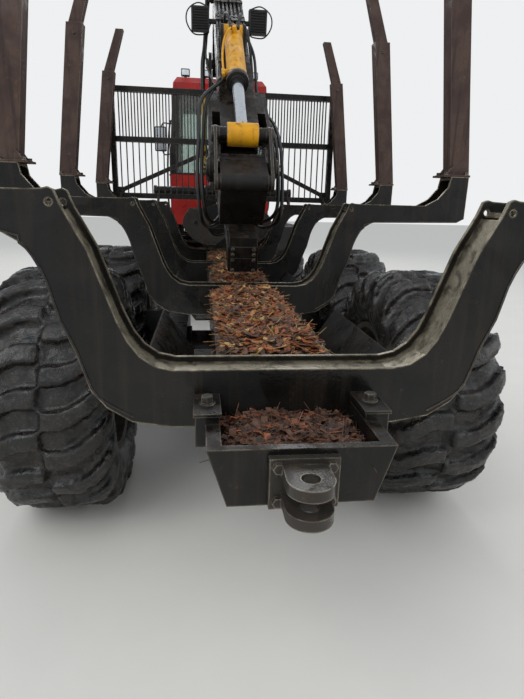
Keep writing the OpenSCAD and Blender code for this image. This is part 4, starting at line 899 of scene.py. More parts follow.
@dataclass
class LitterBed:
    """A bed of bark, needles and leaves on one flat place of the rear frame."""

    name: str
    low: tuple
    high: tuple
    level: float
    depth: float
    pieces: int
    seed: int
    bark: tuple = (0.22, 1.0)
    twigs: tuple = (0.75, 1.0)

    def height(self, x: float, y: float) -> float:
        """How high the bed stands at a place, zero along its rim."""
        fx = min(x - self.low[0], self.high[0] - x) / (self.high[0] - self.low[0]) * 2
        fy = min(y - self.low[1], self.high[1] - y) / (self.high[1] - self.low[1]) * 2
        rim = min(1.0, max(0.0, fx) * 2.2) * min(1.0, max(0.0, fy) * 6.0)
        rough = 0.7 + 0.6 * noise.noise(Vector((x * 14, y * 9, self.seed)))
        return self.depth * rim * max(0.15, rough)

    def mound(self) -> None:
        """Lays the dark crumbs under the pieces."""
        clear()
        (x0, y0), (x1, y1) = self.low, self.high
        bpy.ops.mesh.primitive_grid_add(x_subdivisions=max(8, int((x1 - x0) / 0.02)),
                                        y_subdivisions=max(8, int((y1 - y0) / 0.02)), size=1,
                                        location=((x0 + x1) / 2, (y0 + y1) / 2, self.level))
        obj = bpy.context.object
        obj.scale = (x1 - x0, y1 - y0, 1)
        settle(obj)
        for vertex in obj.data.vertices:
            x, y = vertex.co.x, vertex.co.y
            vertex.co.z = self.level + self.height(x, y) + 0.002 * noise.noise(Vector((x, y, 0)) * 60)
        apply_modifier(obj, "SOLIDIFY", thickness=0.003, offset=-1)
        piece([obj], f"{self.name}_crumbs", "rear", "forest_litter", soft=60)

    def chip(self) -> bpy.types.Object:
        """A bent flake of bark, 40 mm long."""
        clear()
        bpy.ops.mesh.primitive_grid_add(x_subdivisions=3, y_subdivisions=1, size=0.04)
        obj = bpy.context.object
        obj.scale = (1.0, 0.42, 1.0)
        settle(obj)
        for i, vertex in enumerate(obj.data.vertices):
            vertex.co.z = 9.0 * vertex.co.x ** 2 + (0.002 if i % 3 else -0.001)
            vertex.co.y *= 1.0 - 14 * abs(vertex.co.x)
        return apply_modifier(obj, "SOLIDIFY", thickness=0.0022, offset=0)

    def needle(self) -> bpy.types.Object:
        """A thin twig, 90 mm long and bent in its middle."""
        clear()
        bpy.ops.mesh.primitive_cone_add(vertices=4, radius1=0.0022, radius2=0.0010, depth=0.045)
        obj = bpy.context.object
        obj.rotation_euler = (0, math.pi / 2, 0)
        settle(obj)
        reach = max(v.co.x for v in obj.data.vertices)
        pick_faces(obj, lambda c, n: c.x > reach - 0.001)
        bpy.ops.mesh.extrude_region_move(TRANSFORM_OT_translate={"value": (0.042, 0.012, 0.002)})
        leave_edit()
        return obj

    def scatter(self, master: bpy.types.Object, count: int, kind: str, rng: np.random.Generator,
                sizes: tuple, tone: tuple) -> None:
        """Lays copies of one piece over the bed, each with its own place, turn and size.

        Args:
            master: the piece.
            count: how many copies.
            kind: the last word of their name.
            rng: where the random numbers come from.
            sizes: the smallest and largest scale.
            tone: the darkest and palest tone, from 0 to 1.
        """
        places = []
        while len(places) < count:
            x = rng.uniform(self.low[0] + 0.01, self.high[0] - 0.01)
            y = rng.uniform(self.low[1] + 0.01, self.high[1] - 0.01)
            tall = self.height(x, y)
            if tall < self.depth * 0.12 * rng.random():
                continue
            tilt = Matrix.Rotation(rng.normal(0, 0.3), 4, "X") @ Matrix.Rotation(rng.normal(0, 0.3), 4, "Y")
            places.append(Matrix.Translation((x, y, self.level + tall + rng.uniform(0.001, 0.010)))
                          @ Matrix.Rotation(rng.uniform(0, 6.28), 4, "Z") @ tilt
                          @ Matrix.Scale(rng.uniform(*sizes), 4))
        scattered = repeat(master, places, f"{self.name}_{kind}", rng, tone)
        dress(scattered, "rear", "forest_litter")

    def build(self) -> None:
        """Makes the bed, its flakes and its twigs."""
        rng = np.random.default_rng(self.seed)
        self.mound()
        self.scatter(self.chip(), self.pieces, "bark", rng, (0.35, 1.5), self.bark)
        self.scatter(self.needle(), self.pieces // 2, "twigs", rng, (0.4, 1.3), self.twigs)


BEAM_TOP = 1.1705
LITTER_BEDS = (
    LitterBed("litter_beam_rear", (-0.195, at_y(0.22)), (0.195, at_y(1.60)), BEAM_TOP, 0.050, 1500, 3),
    LitterBed("litter_beam_middle", (-0.19, at_y(1.82)), (0.19, at_y(2.86)), BEAM_TOP, 0.040, 700, 5),
    LitterBed("litter_beam_front", (-0.19, at_y(3.10)), (0.19, at_y(4.22)), BEAM_TOP, 0.030, 500, 7),
    LitterBed("litter_bumper", (-0.196, at_y(-0.272)), (0.196, at_y(-0.004)), 1.0404, 0.034, 800, 11,
              bark=(0.0, 0.74), twigs=(0.0, 0.70)),
)


# ---- fasteners and lines ---------------------------------------------------------------------

def hex_bolt(across: float) -> bpy.types.Object:
    """A bolt's chamfered head on its washer, standing on its own origin along Z.

    Args:
        across: radius of the head over its corners.
    Returns:
        The new object.
    """
    clear()
    bpy.ops.mesh.primitive_cylinder_add(vertices=6, radius=across, depth=across * 1.2,
                                        location=(0, 0, across * 0.72))
    top = inset(bpy.context.object, 2, 1, across * 0.14, across * 0.10)
    settle(top)
    washer = bar((0, 0, -0.0008), (0, 0, across * 0.22), across * 1.32, 16, chamfer=across * 0.05)
    return join([top, washer], "bolt")


def bolt_set(name: str, places: Sequence[tuple[Point, Point]], across: float, body: str) -> None:
    """Puts bare bolts at several places of one body, each given by its foot and the way it points."""
    spots = [facing(way, foot, 0.4 * i) for i, (foot, way) in enumerate(places)]
    dress(repeat(hex_bolt(across), spots, name), body, "bare_steel")


def ring_of(centre: Point, radius: float, count: int, side: int, start: float = 0.0,
            ) -> list[tuple[Point, Point]]:
    """Feet of bolts on a circle round an axis along X, and the way that they point.

    Args:
        centre: middle of the circle.
        radius: radius of the circle.
        count: how many bolts.
        side: 1 where they point to the right, -1 to the left.
        start: angle of the first, in radians.
    Returns:
        A list of feet and ways.
    """
    angles = [start + 2 * math.pi * i / count for i in range(count)]
    return [(Vector(centre) + Vector((0, radius * math.cos(a), radius * math.sin(a))), (side, 0, 0))
            for a in angles]


def hose(name: str, points: Sequence[Point], bodies: Sequence[str], radius: float) -> None:
    """One hydraulic hose, with its crimped ends and hex unions.

    It is a fixed line between two fittings. Where those are on two bodies, the line rides on neither, and
    each end rides on its own body.

    Args:
        name: its name.
        points: what its middle passes.
        bodies: the body of its first end, and that of its last where it is another.
        radius: its radius.
    """
    line = join([tube(points, radius, 7, 2)], name)
    run = through(points, 7)
    if len(bodies) == 1:
        dress(line, bodies[0], "hose_rubber")
    else:
        line.data.materials.append(FINISHES["hose_rubber"])
        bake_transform(line)
    for i, (a, b) in enumerate(((run[0], run[1]), (run[-1], run[-2]))):
        way = (b - a).normalized() * radius
        end = [bar(a, a + way * 4.5, radius * 1.22, 16, chamfer=radius * 0.15),
               bar(a - way * 1.2, a + way * 0.9, radius * 1.6, 6, chamfer=radius * 0.15)]
        piece(end, f"{name}_end_{i + 1}", bodies[-i], "bare_steel", soft=30)


# ---- crane -----------------------------------------------------------------------------------

@dataclass
class Crane:
    """What the crane's solids leave out: unions, hoses, glands, caps, covers and its lamps' glass."""

    slope: float = 34.9
    outer_slope: float = 17.6
    knuckle: tuple = (1.900, 1.890)
    drop: float = 0.430
    pivot: tuple = (5.000, 3.200)
    tip: tuple = (3.950, 2.0892)
    slew_z: float = 1.812
    pipe_n: float = 0.1496
    pipes: tuple = ((-0.112, 0.900), (-0.088, 0.900), (-0.052, 1.900), (-0.018, 1.900), (0.018, 1.900),
                    (0.052, 1.900), (0.088, 1.900), (0.112, 1.900))
    gland_r: float = 0.0785
    eye_half: float = 0.095

    def along(self, degrees: float, s: float, n: float, x: float) -> Vector:
        """A point s up a slope from the knuckle and n square to it."""
        a = math.radians(degrees)
        y = self.knuckle[0] + s * math.cos(a) - n * math.sin(a)
        return Vector((x, at_y(y), self.knuckle[1] + s * math.sin(a) + n * math.cos(a)))

    def boom(self, s: float, n: float, x: float = 0.0) -> Vector:
        """A point on the main boom: s up its slope from the knuckle, n square to it."""
        return self.along(self.slope, s, n, x)

    def outer(self, s: float, n: float, x: float = 0.0) -> Vector:
        """A point on the outer boom: s along it from under the knuckle, n above its middle."""
        return self.along(self.outer_slope, s, n - self.drop, x)

    def fold(self, d: float, up: float = 0.0, x: float = 0.0) -> Vector:
        """A point on the fold cylinder: d from its root towards its eye, up square to it."""
        root, eye = self.boom(1.560, 0.215), self.boom(0.109, 0.156)
        way = (eye - root).normalized()
        square = Vector((1, 0, 0)).cross(way)
        if square.z < 0:
            square = -square
        return root + way * d + square * up + Vector((x, 0, 0))

    def unions(self) -> None:
        """Hex unions on the pipes, where they end and beside their upper clamp, and the clamps' bolts."""
        n = self.pipe_n
        parts = [bar(self.boom(s, n, x), self.boom(s + 0.034, n, x), 0.0165, 6, chamfer=0.002)
                 for x, start in self.pipes for s in (start - 0.012, 2.10, 2.96)]
        piece(parts, "pipe_unions", "main_boom", "bare_steel")
        places = [(self.boom(s + 0.023, n + 0.017, x), self.boom(1, 1) - self.boom(1, 0))
                  for s in (2.0, 2.45, 2.88) for x in (-0.070, 0.0, 0.070)]
        bolt_set("clamp_bolts", places, 0.009, "main_boom")

    def hoses(self) -> None:
        """Hoses round the knuckle, to the fold cylinder, along the boom and down to the grapple."""
        b, o, f, n = self.boom, self.outer, self.fold, self.pipe_n
        for i, (x, low) in enumerate(((-0.112, 0.0), (-0.088, 0.035))):
            out = -0.238 - 0.026 * i
            hose(f"knuckle_hose_left_{i + 1}", [
                b(0.885, n, x), b(0.80, n + 0.02, x - 0.02), b(0.60, 0.10 + low, out + 0.02),
                b(0.30, 0.02 + low, out), b(0.02, -0.07, out - 0.01), o(-0.02, 0.16 - low, out + 0.01),
                o(0.18, 0.02 - low, out + 0.06), o(0.42, -0.03 - low, -0.13), o(0.60, -0.035 - low, -0.098),
            ], ("main_boom", "outer_boom"), 0.012)
        for i, x in enumerate((0.112, 0.088)):
            out, near, low = 0.236 + 0.026 * i, 0.150 + 0.026 * i, 0.035 * i
            hose(f"knuckle_hose_right_{i + 1}", [
                b(1.885, n, x), b(1.78, n, x + 0.02), b(1.55, 0.06, near), b(1.10, -0.03, near),
                b(0.82, -0.04, 0.19 + 0.03 * i), b(0.50, 0.0, out), b(0.16, -0.02, out + 0.004),
                o(0.0, 0.18 - 0.04 * i, out), o(0.20, 0.02 - 0.04 * i, out - 0.07),
                o(0.42, -0.03 - low, 0.125), o(0.60, -0.035 - low, 0.098),
            ], ("main_boom", "outer_boom"), 0.012)
        for i, x in enumerate((-0.052, 0.052)):
            hose(f"fold_hose_{i + 1}", [
                b(1.885, n, x), b(1.80, n + 0.02, x), b(1.68, 0.30, x * 1.2), f(0.02, 0.135, x * 0.9),
                f(0.16, 0.105, x * 0.5)], ("main_boom", "fold_barrel"), 0.010)
        hose("loose_hose", [
            b(2.42, 0.02, -0.137), b(2.30, 0.0, -0.175), b(2.02, -0.06, -0.205), b(1.66, -0.09, -0.195),
            b(1.34, -0.06, -0.150), b(1.20, -0.03, -0.137)], ("main_boom",), 0.007)
        tip = Vector((0, at_y(self.tip[0]), self.tip[1]))
        for i, x in enumerate((-0.060, 0.060)):
            drops = ((2.1, -0.10, -0.10), (2.3, -0.12, -0.22), (1.7, -0.10, -0.285))
            fall = [tip + Vector((x * wide, y, z)) for wide, y, z in drops]
            hose(f"grapple_hose_{i + 1}", [o(1.98, -0.115, x), o(2.06, -0.165, x * 1.3)] + fall,
                 ("extension", "grapple_link"), 0.009)

    def column_lines(self) -> None:
        """The yellow sleeved bundle up the column's left side, and the lift cylinder's two hoses."""
        base = Vector((-0.185, at_y(self.pivot[0] - 0.02), self.slew_z + 0.16))
        root = Vector((-0.20, at_y(self.pivot[0]), self.pivot[1]))
        path = [base + Vector(v) for v in
                ((0.03, 0, 0), (-0.02, -0.03, 0.12), (-0.035, -0.04, 0.45), (-0.03, -0.03, 0.80))]
        path += [root + Vector(v) for v in ((-0.03, -0.04, -0.30), (-0.03, -0.02, 0), (-0.005, -0.10, 0.17))]
        path += [self.boom(3.10, 0.10, -0.170), self.boom(2.90, 0.06, -0.142)]
        hose("column_bundle", path, ("column", "main_boom"), 0.026)
        piece([tube(path[1:5], 0.032, 7, 2)], "yellow_sleeve", "column", "hose_sleeve")
        for i, x in enumerate((-0.105, 0.105)):
            up = 2.20 + 0.1 * i
            hose(f"lift_hose_{i + 1}", [
                (x * 1.35, at_y(4.95), 2.36), (x * 1.5, at_y(4.80), 2.42), (x * 1.1, at_y(4.755), up + 0.30),
                (x * 0.62, at_y(4.775), up + 0.36)], ("column", "lift_barrel"), 0.010)

    def fold_cylinder(self) -> None:
        """The fold cylinder's dark gland, its ports with a banjo elbow, and the painted sleeve on its eye."""
        f = self.fold
        gland = [bar(f(0.752), f(0.803), self.gland_r, 40, chamfer=0.003),
                 bar(f(0.803), f(0.812), 0.055, 32, chamfer=0.003)]
        piece(gland, "fold_gland", "fold_barrel", "black_paint", soft=30)
        ports = [bar(f(0.16, 0.060), f(0.16, 0.112), 0.022, 20, chamfer=0.003),
                 bar(f(0.70, 0.02, -0.060), f(0.70, 0.02, -0.104), 0.021, 20, chamfer=0.003),
                 bar(f(0.655, 0.02, -0.094), f(0.745, 0.02, -0.094), 0.013, 16, chamfer=0.002),
                 bar(f(0.05, 0.055), f(0.05, 0.085), 0.011, 6, chamfer=0.002)]
        piece(ports, "fold_ports", "fold_barrel", "yellow_paint", soft=30)
        pipe = tube([f(0.16, 0.105, -0.02), f(0.20, 0.098, -0.045), f(0.26, 0.055, -0.078),
                     f(0.45, 0.025, -0.094), f(0.66, 0.02, -0.094)], 0.008, 6, 2)
        piece([pipe], "fold_pipe", "fold_barrel", "yellow_paint")
        eye = self.boom(0.109, 0.156)
        across = Vector((self.eye_half - 0.0004, 0, 0))
        sleeve = bar(eye - across, eye + across, 0.0692, 48)
        pick_faces(sleeve, lambda c, n: abs(n.x) > 0.9)
        bpy.ops.mesh.inset(thickness=0.006)
        leave_edit()
        apply_modifier(sleeve, "BEVEL", width=0.0025, segments=2, limit_method="ANGLE",
                       angle_limit=math.radians(60))
        nipple = bar(eye + Vector((0, -0.012, 0.066)), eye + Vector((0, -0.014, 0.078)), 0.006, 10, 0.003)
        piece([sleeve, nipple], "fold_eye_sleeve", "fold_rod", "yellow_paint", soft=30)

    def caps(self) -> None:
        """Chamfered caps, each with three bolts, on the ends of the crane's main pins."""
        for name, body, (y, z), out, radius in (
                ("knuckle", "main_boom", self.knuckle, 0.2135, 0.052),
                ("pivot", "column", self.pivot, 0.1745, 0.062),
                ("tip", "extension", self.tip, 0.0775, 0.038)):
            parts, bolts = [], []
            for side in (-1, 1):
                inner, face, top = (Vector((side * (out + d), at_y(y), z)) for d in (-0.006, 0.009, 0.010))
                parts.append(bar(inner, top, radius, 32, chamfer=0.004))
                bolts += ring_of(face, radius * 0.58, 3, side, 0.5)
            piece(parts, f"{name}_caps", body, "bare_steel", soft=30)
            bolt_set(f"{name}_cap_bolts", bolts, radius * 0.17, body)

    def tail_covers(self) -> None:
        """Two bolted covers that step down the outer boom's tail."""
        wide, edge = 0.078, 0.014
        low = self.outer(-0.330, 0)
        back = (self.outer(-1, 0) - self.outer(0, 0)).normalized()
        plates, bolts = [], []
        for z0, z1, out in ((-0.113, -0.020, 0.006), (-0.012, 0.050, 0.005)):
            plate = block((-wide, -0.006, z0), (wide, 0.006, z1), 0.003)
            plate.data.transform(Matrix.Translation(low + back * out)
                                 @ Matrix.Rotation(math.radians(self.outer_slope), 4, "X"))
            plates.append(plate)
            bolts += [(self.outer(-0.330, z, x) + back * (out + 0.0055), back)
                      for x in (edge - wide, wide - edge) for z in (z0 + edge, z1 - edge)]
        piece(plates, "tail_covers", "outer_boom", "weathered_steel")
        bolt_set("tail_cover_bolts", bolts, 0.009, "outer_boom")

    def lamps(self) -> None:
        """Lenses, cooling fins and curved guards for the two lamps on the boom."""
        foot = self.boom(2.250, 0.060)
        rim = ((-0.074, 0.01, 0.094), (0.02, -0.03, 0.118), (0.105, -0.06, 0.06), (0.118, -0.07, -0.03),
               (0.06, -0.06, -0.112), (-0.03, -0.03, -0.115), (-0.074, 0.0, -0.096))
        lenses, guards = [], []
        for side in (-1, 1):
            lens = block((-0.066, 0.0704, -0.084), (0.066, 0.0770, 0.084), 0.003, 3)
            lenses.append(inset(lens, 1, 1, 0.008, -0.003))
            dark = [block((-0.061, -0.064, z), (0.061, -0.046, z + 0.005), 0.001, 1)
                    for z in np.linspace(-0.070, 0.070, 8)]
            dark.append(tube([(side * x, y, z) for x, y, z in rim], 0.006, 6, 1))
            place = Matrix.Translation((side * 0.253, foot.y - 0.020, foot.z + 0.010))
            for part in [lens] + dark:
                part.data.transform(place @ Matrix.Rotation(math.radians(12), 4, "X"))
            guards += dark
        piece(lenses, "boom_lamp_lenses", "main_boom", "lamp_lens")
        piece(guards, "boom_lamp_guards", "main_boom", "lamp_plastic")

    def build(self) -> None:
        """Makes all that dresses the crane."""
        self.unions()
        self.hoses()
        self.column_lines()
        self.fold_cylinder()
        self.caps()
        self.tail_covers()
        self.lamps()


# ---- load bay --------------------------------------------------------------------------------

@dataclass
class LoadBay:
    """Bolts and weld beads of the bunks, stakes, gate and tail."""

    bunks: tuple = (0.0, 1.630, 2.900, 4.300)
    thick: float = 0.155
    wing: float = 1.692
    stake_x: float = 1.298
    collar_z: float = 1.8745
    joint_z: float = 2.86
    lean: float = 7.0
    gate_y: float = 4.560
    seam: tuple = ((0.450, 1.060), (0.524, 1.104), (0.563, 1.150), (0.596, 1.262), (0.634, 1.350),
                   (0.658, 1.450), (0.690, 1.522), (0.720, 1.556), (0.780, 1.590), (1.280, 1.600))

    def bunk_details(self) -> None:
        """The stakes' collar bolts and joint pins, and weld beads along each bunk's plates."""
        bolts, pins = [], []
        joint_x = self.stake_x - (self.joint_z - 1.874) * math.tan(math.radians(self.lean))
        for y in self.bunks:
            mid = at_y(y + self.thick / 2)
            for side in (-1, 1):
                bolts += [((side * x, mid + dy, self.collar_z), (0, 0, 1))
                          for dy in (-0.052, 0.052) for x in (self.stake_x - 0.088, 1.338)]
                ends = [(side * joint_x, mid + dy, self.joint_z) for dy in (-0.056, 0.056)]
                pins.append(bar(*ends, 0.011, 6, chamfer=0.002))
        bolt_set("stake_bolts", bolts, 0.012, "rear")
        piece(pins, "stake_pins", "rear", "bare_steel")
        beads = [tube([(side * x, at_y(y + dy), z) for x, z in self.seam], 0.0035, 2, 1)
                 for y in self.bunks for side in (-1, 1) for dy in (-0.001, self.thick + 0.001)]
        piece(beads, "bunk_welds", "rear", "weathered_steel")

    def build(self) -> None:
        """Makes all that dresses the load bay."""
        self.bunk_details()
        feet = [((side * x, at_y(4.476), self.wing + dz), (-side, 0, 0))
                for side in (-1, 1) for x in (0.711, 1.1142) for dz in (-0.056, -0.026)]
        bolt_set("gate_bolts", feet, 0.011, "rear")
        y = at_y(self.gate_y)
        gussets = [block((side * x - 0.045, y + 0.024, z - 0.05), (side * x + 0.045, y + 0.030, z + 0.05),
                         0.002) for side in (-1, 1) for x, z in ((1.140, 1.79), (0.085, 2.280))]
        piece(gussets, "gate_gussets", "rear", "weathered_steel")
        posts = [((side * 0.235, at_y(-0.078), 1.1270), (0, 0, 1)) for side in (-1, 1)]
        bolt_set("bumper_bolts", posts, 0.018, "rear")


# ---- axles and frames ------------------------------------------------------------------------

@dataclass
class Running:
    """Bogie covers, drive shafts and the steering cylinders' hoses."""

    bogies: tuple = ((2.150, "rear"), (7.400, "front"))
    face: float = 0.505

    def bogie_covers(self) -> None:
        """A bolted cover on the outside of each bogie case, and filler plugs."""
        for along, body in self.bogies:
            y = at_y(along)
            covers, bolts = [], []
            for side in (-1, 1):
                clear()
                bpy.ops.mesh.primitive_cylinder_add(vertices=40, radius=0.150, depth=0.020,
                                                    location=(side * (self.face + 0.006), y, AXLE_Z),
                                                    rotation=(0, math.pi / 2, 0))
                cover = inset(settle(bpy.context.object), 0, side, 0.050, 0.010)
                covers.append(apply_modifier(cover, "BEVEL", width=0.003, segments=2, limit_method="ANGLE"))
                bolts += ring_of((side * (self.face + 0.0155), y, AXLE_Z), 0.128, 12, side)
                for dy in (-0.42, 0.42):
                    ends = [(side * (self.face + out), y + dy, AXLE_Z + 0.05) for out in (-0.002, 0.014)]
                    covers.append(bar(*ends, 0.030, 6, chamfer=0.003))
            piece(covers, f"bogie_covers_{body}", body, "weathered_steel")
            bolt_set(f"bogie_bolts_{body}", bolts, 0.013, body)

    def shaft(self, name: str, a: Point, b: Point, body: str) -> None:
        """A drive shaft with a universal joint at each end."""
        a, b = Vector(a), Vector(b)
        way = (b - a).normalized()
        parts = [bar(a + way * 0.09, b - way * 0.09, 0.040, 24),
                 bar(a + way * 0.30, a + way * 0.52, 0.048, 24, chamfer=0.004)]
        upright = Vector((0, 0, 1)).cross(way).cross(way).normalized()
        for end, inward in ((a, way), (b, -way)):
            parts.append(bar(end, end + inward * 0.022, 0.075, 24, chamfer=0.003))
            for side, reach in ((upright, 0.045), (Vector((1, 0, 0)), 0.075)):
                yoke = end + inward * reach
                parts += [bar(yoke + side * hand * 0.030 - inward * 0.03,
                              yoke + side * hand * 0.038 + inward * 0.02, 0.020, 12, chamfer=0.003)
                          for hand in (-1, 1)]
                cross = end + inward * 0.060
                parts.append(bar(cross - side * 0.052, cross + side * 0.052, 0.016, 16, chamfer=0.002))
        piece(parts, name, body, "weathered_steel", soft=35)

    def build(self) -> None:
        """Makes all that dresses the axles and frames."""
        self.bogie_covers()
        self.shaft("rear_drive_shaft", (0, at_y(2.345), AXLE_Z + 0.02), (0, at_y(5.20), 0.760), "rear")
        self.shaft("front_drive_shaft", (0, at_y(6.08), 0.740), (0, at_y(7.205), AXLE_Z + 0.02), "front")
        for name, side in SIDES:
            for i, dy in enumerate((0.14, 0.50)):
                path = ((0.205, 4.62 + 0.05 * i, 1.06), (0.26, 4.66 + 0.05 * i, 1.07),
                        (0.31, 4.76 + dy / 2, 1.045), (0.304, 4.75 + dy, 1.02), (0.304, 4.76 + dy, 0.984))
                hose(f"steer_hose_{name}_{i + 1}", [(side * x, at_y(y), z) for x, y, z in path],
                     ("rear", f"steer_barrel_{name}"), 0.009)


# ---- cab -------------------------------------------------------------------------------------

def wall_x(z: float) -> float:
    """How far the cab's side wall stands from the centre line at a height."""
    return 0.680 - max(0.0, z - 2.200) * 0.060 / 1.010


def front_y(z: float) -> float:
    """Where the cab's front wall stands at a height, in the frame."""
    return at_y(7.700 + 0.020 * (z - 1.4) / 0.8) if z < 2.2 else at_y(7.720 - 0.210 * (z - 2.2) / 1.01)


def rear_y(z: float) -> float:
    """Where the cab's rear wall stands at a height, in the frame."""
    return at_y(6.000 + max(0.0, z - 2.2) * 0.040 / 1.02)


@dataclass
class CabOutside:
    """Seals, lamps, mirrors, wipers, handles and rails of the cab."""

    sill: float = 2.120
    head: float = 3.050
    roof: float = 3.298
    mirror_x: float = 0.915

    def seal(self, points: Sequence[Point]) -> bpy.types.Object:
        """A rubber seal round one window, through its corners."""
        corners = [Vector(p) for p in points]
        run = []
        for i, corner in enumerate(corners):
            before, after = corners[i - 1], corners[(i + 1) % len(corners)]
            run += [corner + (before - corner).normalized() * 0.020, corner,
                    corner + (after - corner).normalized() * 0.020]
        return tube(run + run[:2], 0.0095, 1, 1)

    def side_seal(self, side: int, y0: float, y1: float, low: float, high: float) -> bpy.types.Object:
        """The seal of a pane in one side wall, between two places along the machine and two heights."""
        return self.seal([(side * (wall_x(z) + 0.001), at_y(y), z)
                          for y, z in ((y0, low), (y1, low), (y1, high), (y0, high))])

    def seals(self) -> None:
        """Seals round the fixed windows and the doors' two panes."""
        fixed = []
        for name, side in SIDES:
            fixed += [self.side_seal(side, y0, y1, self.sill, self.head)
                      for y0, y1 in ((6.090, 6.350), (7.420, 7.480))]
            panes = [self.side_seal(side, 6.500, 7.270, low, high)
                     for low, high in ((self.sill, self.head), (1.620, 2.040))]
            piece(panes, f"door_seals_{name}", f"door_{name}", "seal_rubber")
        for wall, lift in ((front_y, 0.002), (rear_y, -0.002)):
            corners = ((-0.590, 2.080), (0.590, 2.080), (0.550, 3.080), (-0.550, 3.080))
            fixed.append(self.seal([(x, wall(z) + lift, z) for x, z in corners]))
        piece(fixed, "cab_seals", "front", "seal_rubber")

    def lamp(self, x: float, y: float, way: int) -> tuple[list, list]:
        """One square work lamp on a bracket on the roof.

        Args:
            x: middle of its bracket's foot.
            y: the same, in the frame.
            way: 1 where it looks forward, -1 back.
        Returns:
            Its dark parts and its lenses.
        """
        z = self.roof
        shell = block((x - 0.058, y - 0.038, z + 0.028), (x + 0.058, y + 0.038, z + 0.118), 0.010, 3)
        inset(shell, 1, way, 0.010, -0.008)
        foot = block((x - 0.018, y - 0.020, z), (x + 0.018, y + 0.020, z + 0.034), 0.004)
        back, face = y - way * 0.048, y + way * 0.032
        fins = [block((x - 0.046 + 0.018 * i, back - 0.010, z + 0.040),
                      (x - 0.040 + 0.018 * i, back + 0.014, z + 0.106), 0.001, 1) for i in range(6)]
        lens = block((x - 0.047, face - 0.002, z + 0.040), (x + 0.047, face + 0.002, z + 0.106), 0.0015)
        return [shell, foot] + fins, [lens]

    def lamps(self) -> None:
        """Four work lamps along each end of the roof, a beacon and the roof's hatch."""
        dark, lenses = [], []
        for x in (-0.46, -0.20, 0.20, 0.46):
            for y, way in ((6.20, -1), (7.36, 1)):
                parts, glass = self.lamp(x, at_y(y), way)
                dark += parts
                lenses += glass
        piece(dark, "roof_lamps", "front", "lamp_plastic")
        piece(lenses, "roof_lamp_lenses", "front", "lamp_lens")
        hatch = block((-0.30, at_y(6.48), 3.297), (0.30, at_y(7.12), 3.345), 0.016, 3)
        inset(hatch, 2, 1, 0.045, -0.010)
        slots = [block((-0.20, at_y(6.60 + 0.06 * i), 3.328), (0.20, at_y(6.62 + 0.06 * i), 3.341), 0.003)
                 for i in range(7)]
        piece([hatch] + slots, "roof_hatch", "front", "black_paint")
        x, y = 0.34, at_y(6.80)
        base = bar((x, y, 3.297), (x, y, 3.330), 0.045, 24, chamfer=0.004)
        dome = bar((x, y, 3.330), (x, y, 3.425), 0.040, 24, far=0.033, chamfer=0.012)
        piece([base], "beacon_base", "front", "lamp_plastic", soft=30)
        piece([dome], "beacon_dome", "front", "yellow_paint", soft=30)

    def mirrors(self) -> None:
        """A mirror on a bent arm at each front corner."""
        z0, z1 = 2.46, 2.92
        for name, side in SIDES:
            a = Vector((side * (wall_x(z0) - 0.004), at_y(7.545), z0))
            b = Vector((side * (wall_x(z1) - 0.004), at_y(7.49), z1))
            arm = tube([a, a + Vector((side * 0.10, 0.02, 0)), a + Vector((side * 0.22, 0.04, 0.03)),
                        b + Vector((side * 0.26, 0.09, -0.03)), b + Vector((side * 0.13, 0.05, 0)), b],
                       0.011, 6, 2)
            x = side * self.mirror_x
            shell = block((x - 0.095, at_y(7.562), 2.50), (x + 0.095, at_y(7.612), 2.88), 0.022, 4)
            inset(shell, 1, -1, 0.012, -0.006)
            piece([arm, shell], f"mirror_{name}", "front", "lamp_plastic", soft=40)
            glass = block((x - 0.080, at_y(7.5655), 2.52), (x + 0.080, at_y(7.5690), 2.86), 0.001)
            piece([glass], f"mirror_glass_{name}", "front", "rod_chrome")

    def wipers(self) -> None:
        """A wiper on the front and rear windows."""
        parts = []
        for wall, way, x in ((front_y, 1, 0.05), (rear_y, -1, -0.05)):
            out = Vector((0, way, 0))
            foot = Vector((x, wall(2.04), 2.04)) + out * 0.010
            top = Vector((x + 0.26, wall(2.55), 2.55)) + out * 0.030
            parts.append(bar(foot - out * 0.012, foot + out * 0.035, 0.026, 20, chamfer=0.004))
            parts.append(tube([foot + out * 0.026, (foot + top) / 2 + out * 0.022, top], 0.007, 5, 1))
            low, high = (Vector((top.x + dx, wall(z), z)) + out * 0.012
                         for dx, z in ((-0.055, 2.26), (0.055, 2.86)))
            parts.append(tube([low, top - out * 0.012, high], 0.008, 5, 1))
        piece(parts, "wipers", "front", "lamp_plastic")

    def handles(self) -> None:
        """A latch handle on each door and a grab rail behind it."""
        rails = []
        for name, side in SIDES:
            x, y = side * 0.680, at_y(6.385)
            plate = block((x - 0.004, at_y(6.452), 2.052), (x + 0.004, at_y(6.566), 2.108), 0.003)
            grip = tube([(x + side * out, at_y(along), 2.08) for out, along in
                         ((0.003, 6.545), (0.032, 6.535), (0.036, 6.47), (0.003, 6.462))], 0.009, 6, 1)
            piece([plate, grip], f"door_handle_{name}", f"door_{name}", "lamp_plastic")
            rails.append(tube([(x, y, 1.62), (x + side * 0.050, y, 1.66), (x + side * 0.055, y, 2.20),
                               (side * (wall_x(2.78) + 0.050), y, 2.74), (side * wall_x(2.80), y, 2.79)],
                              0.013, 6, 2))
        piece(rails, "grab_rails", "front", "black_paint")

    def build(self) -> None:
        """Makes all that dresses the cab's outside."""
        self.seals()
        self.lamps()
        self.mirrors()
        self.wipers()
        self.handles()


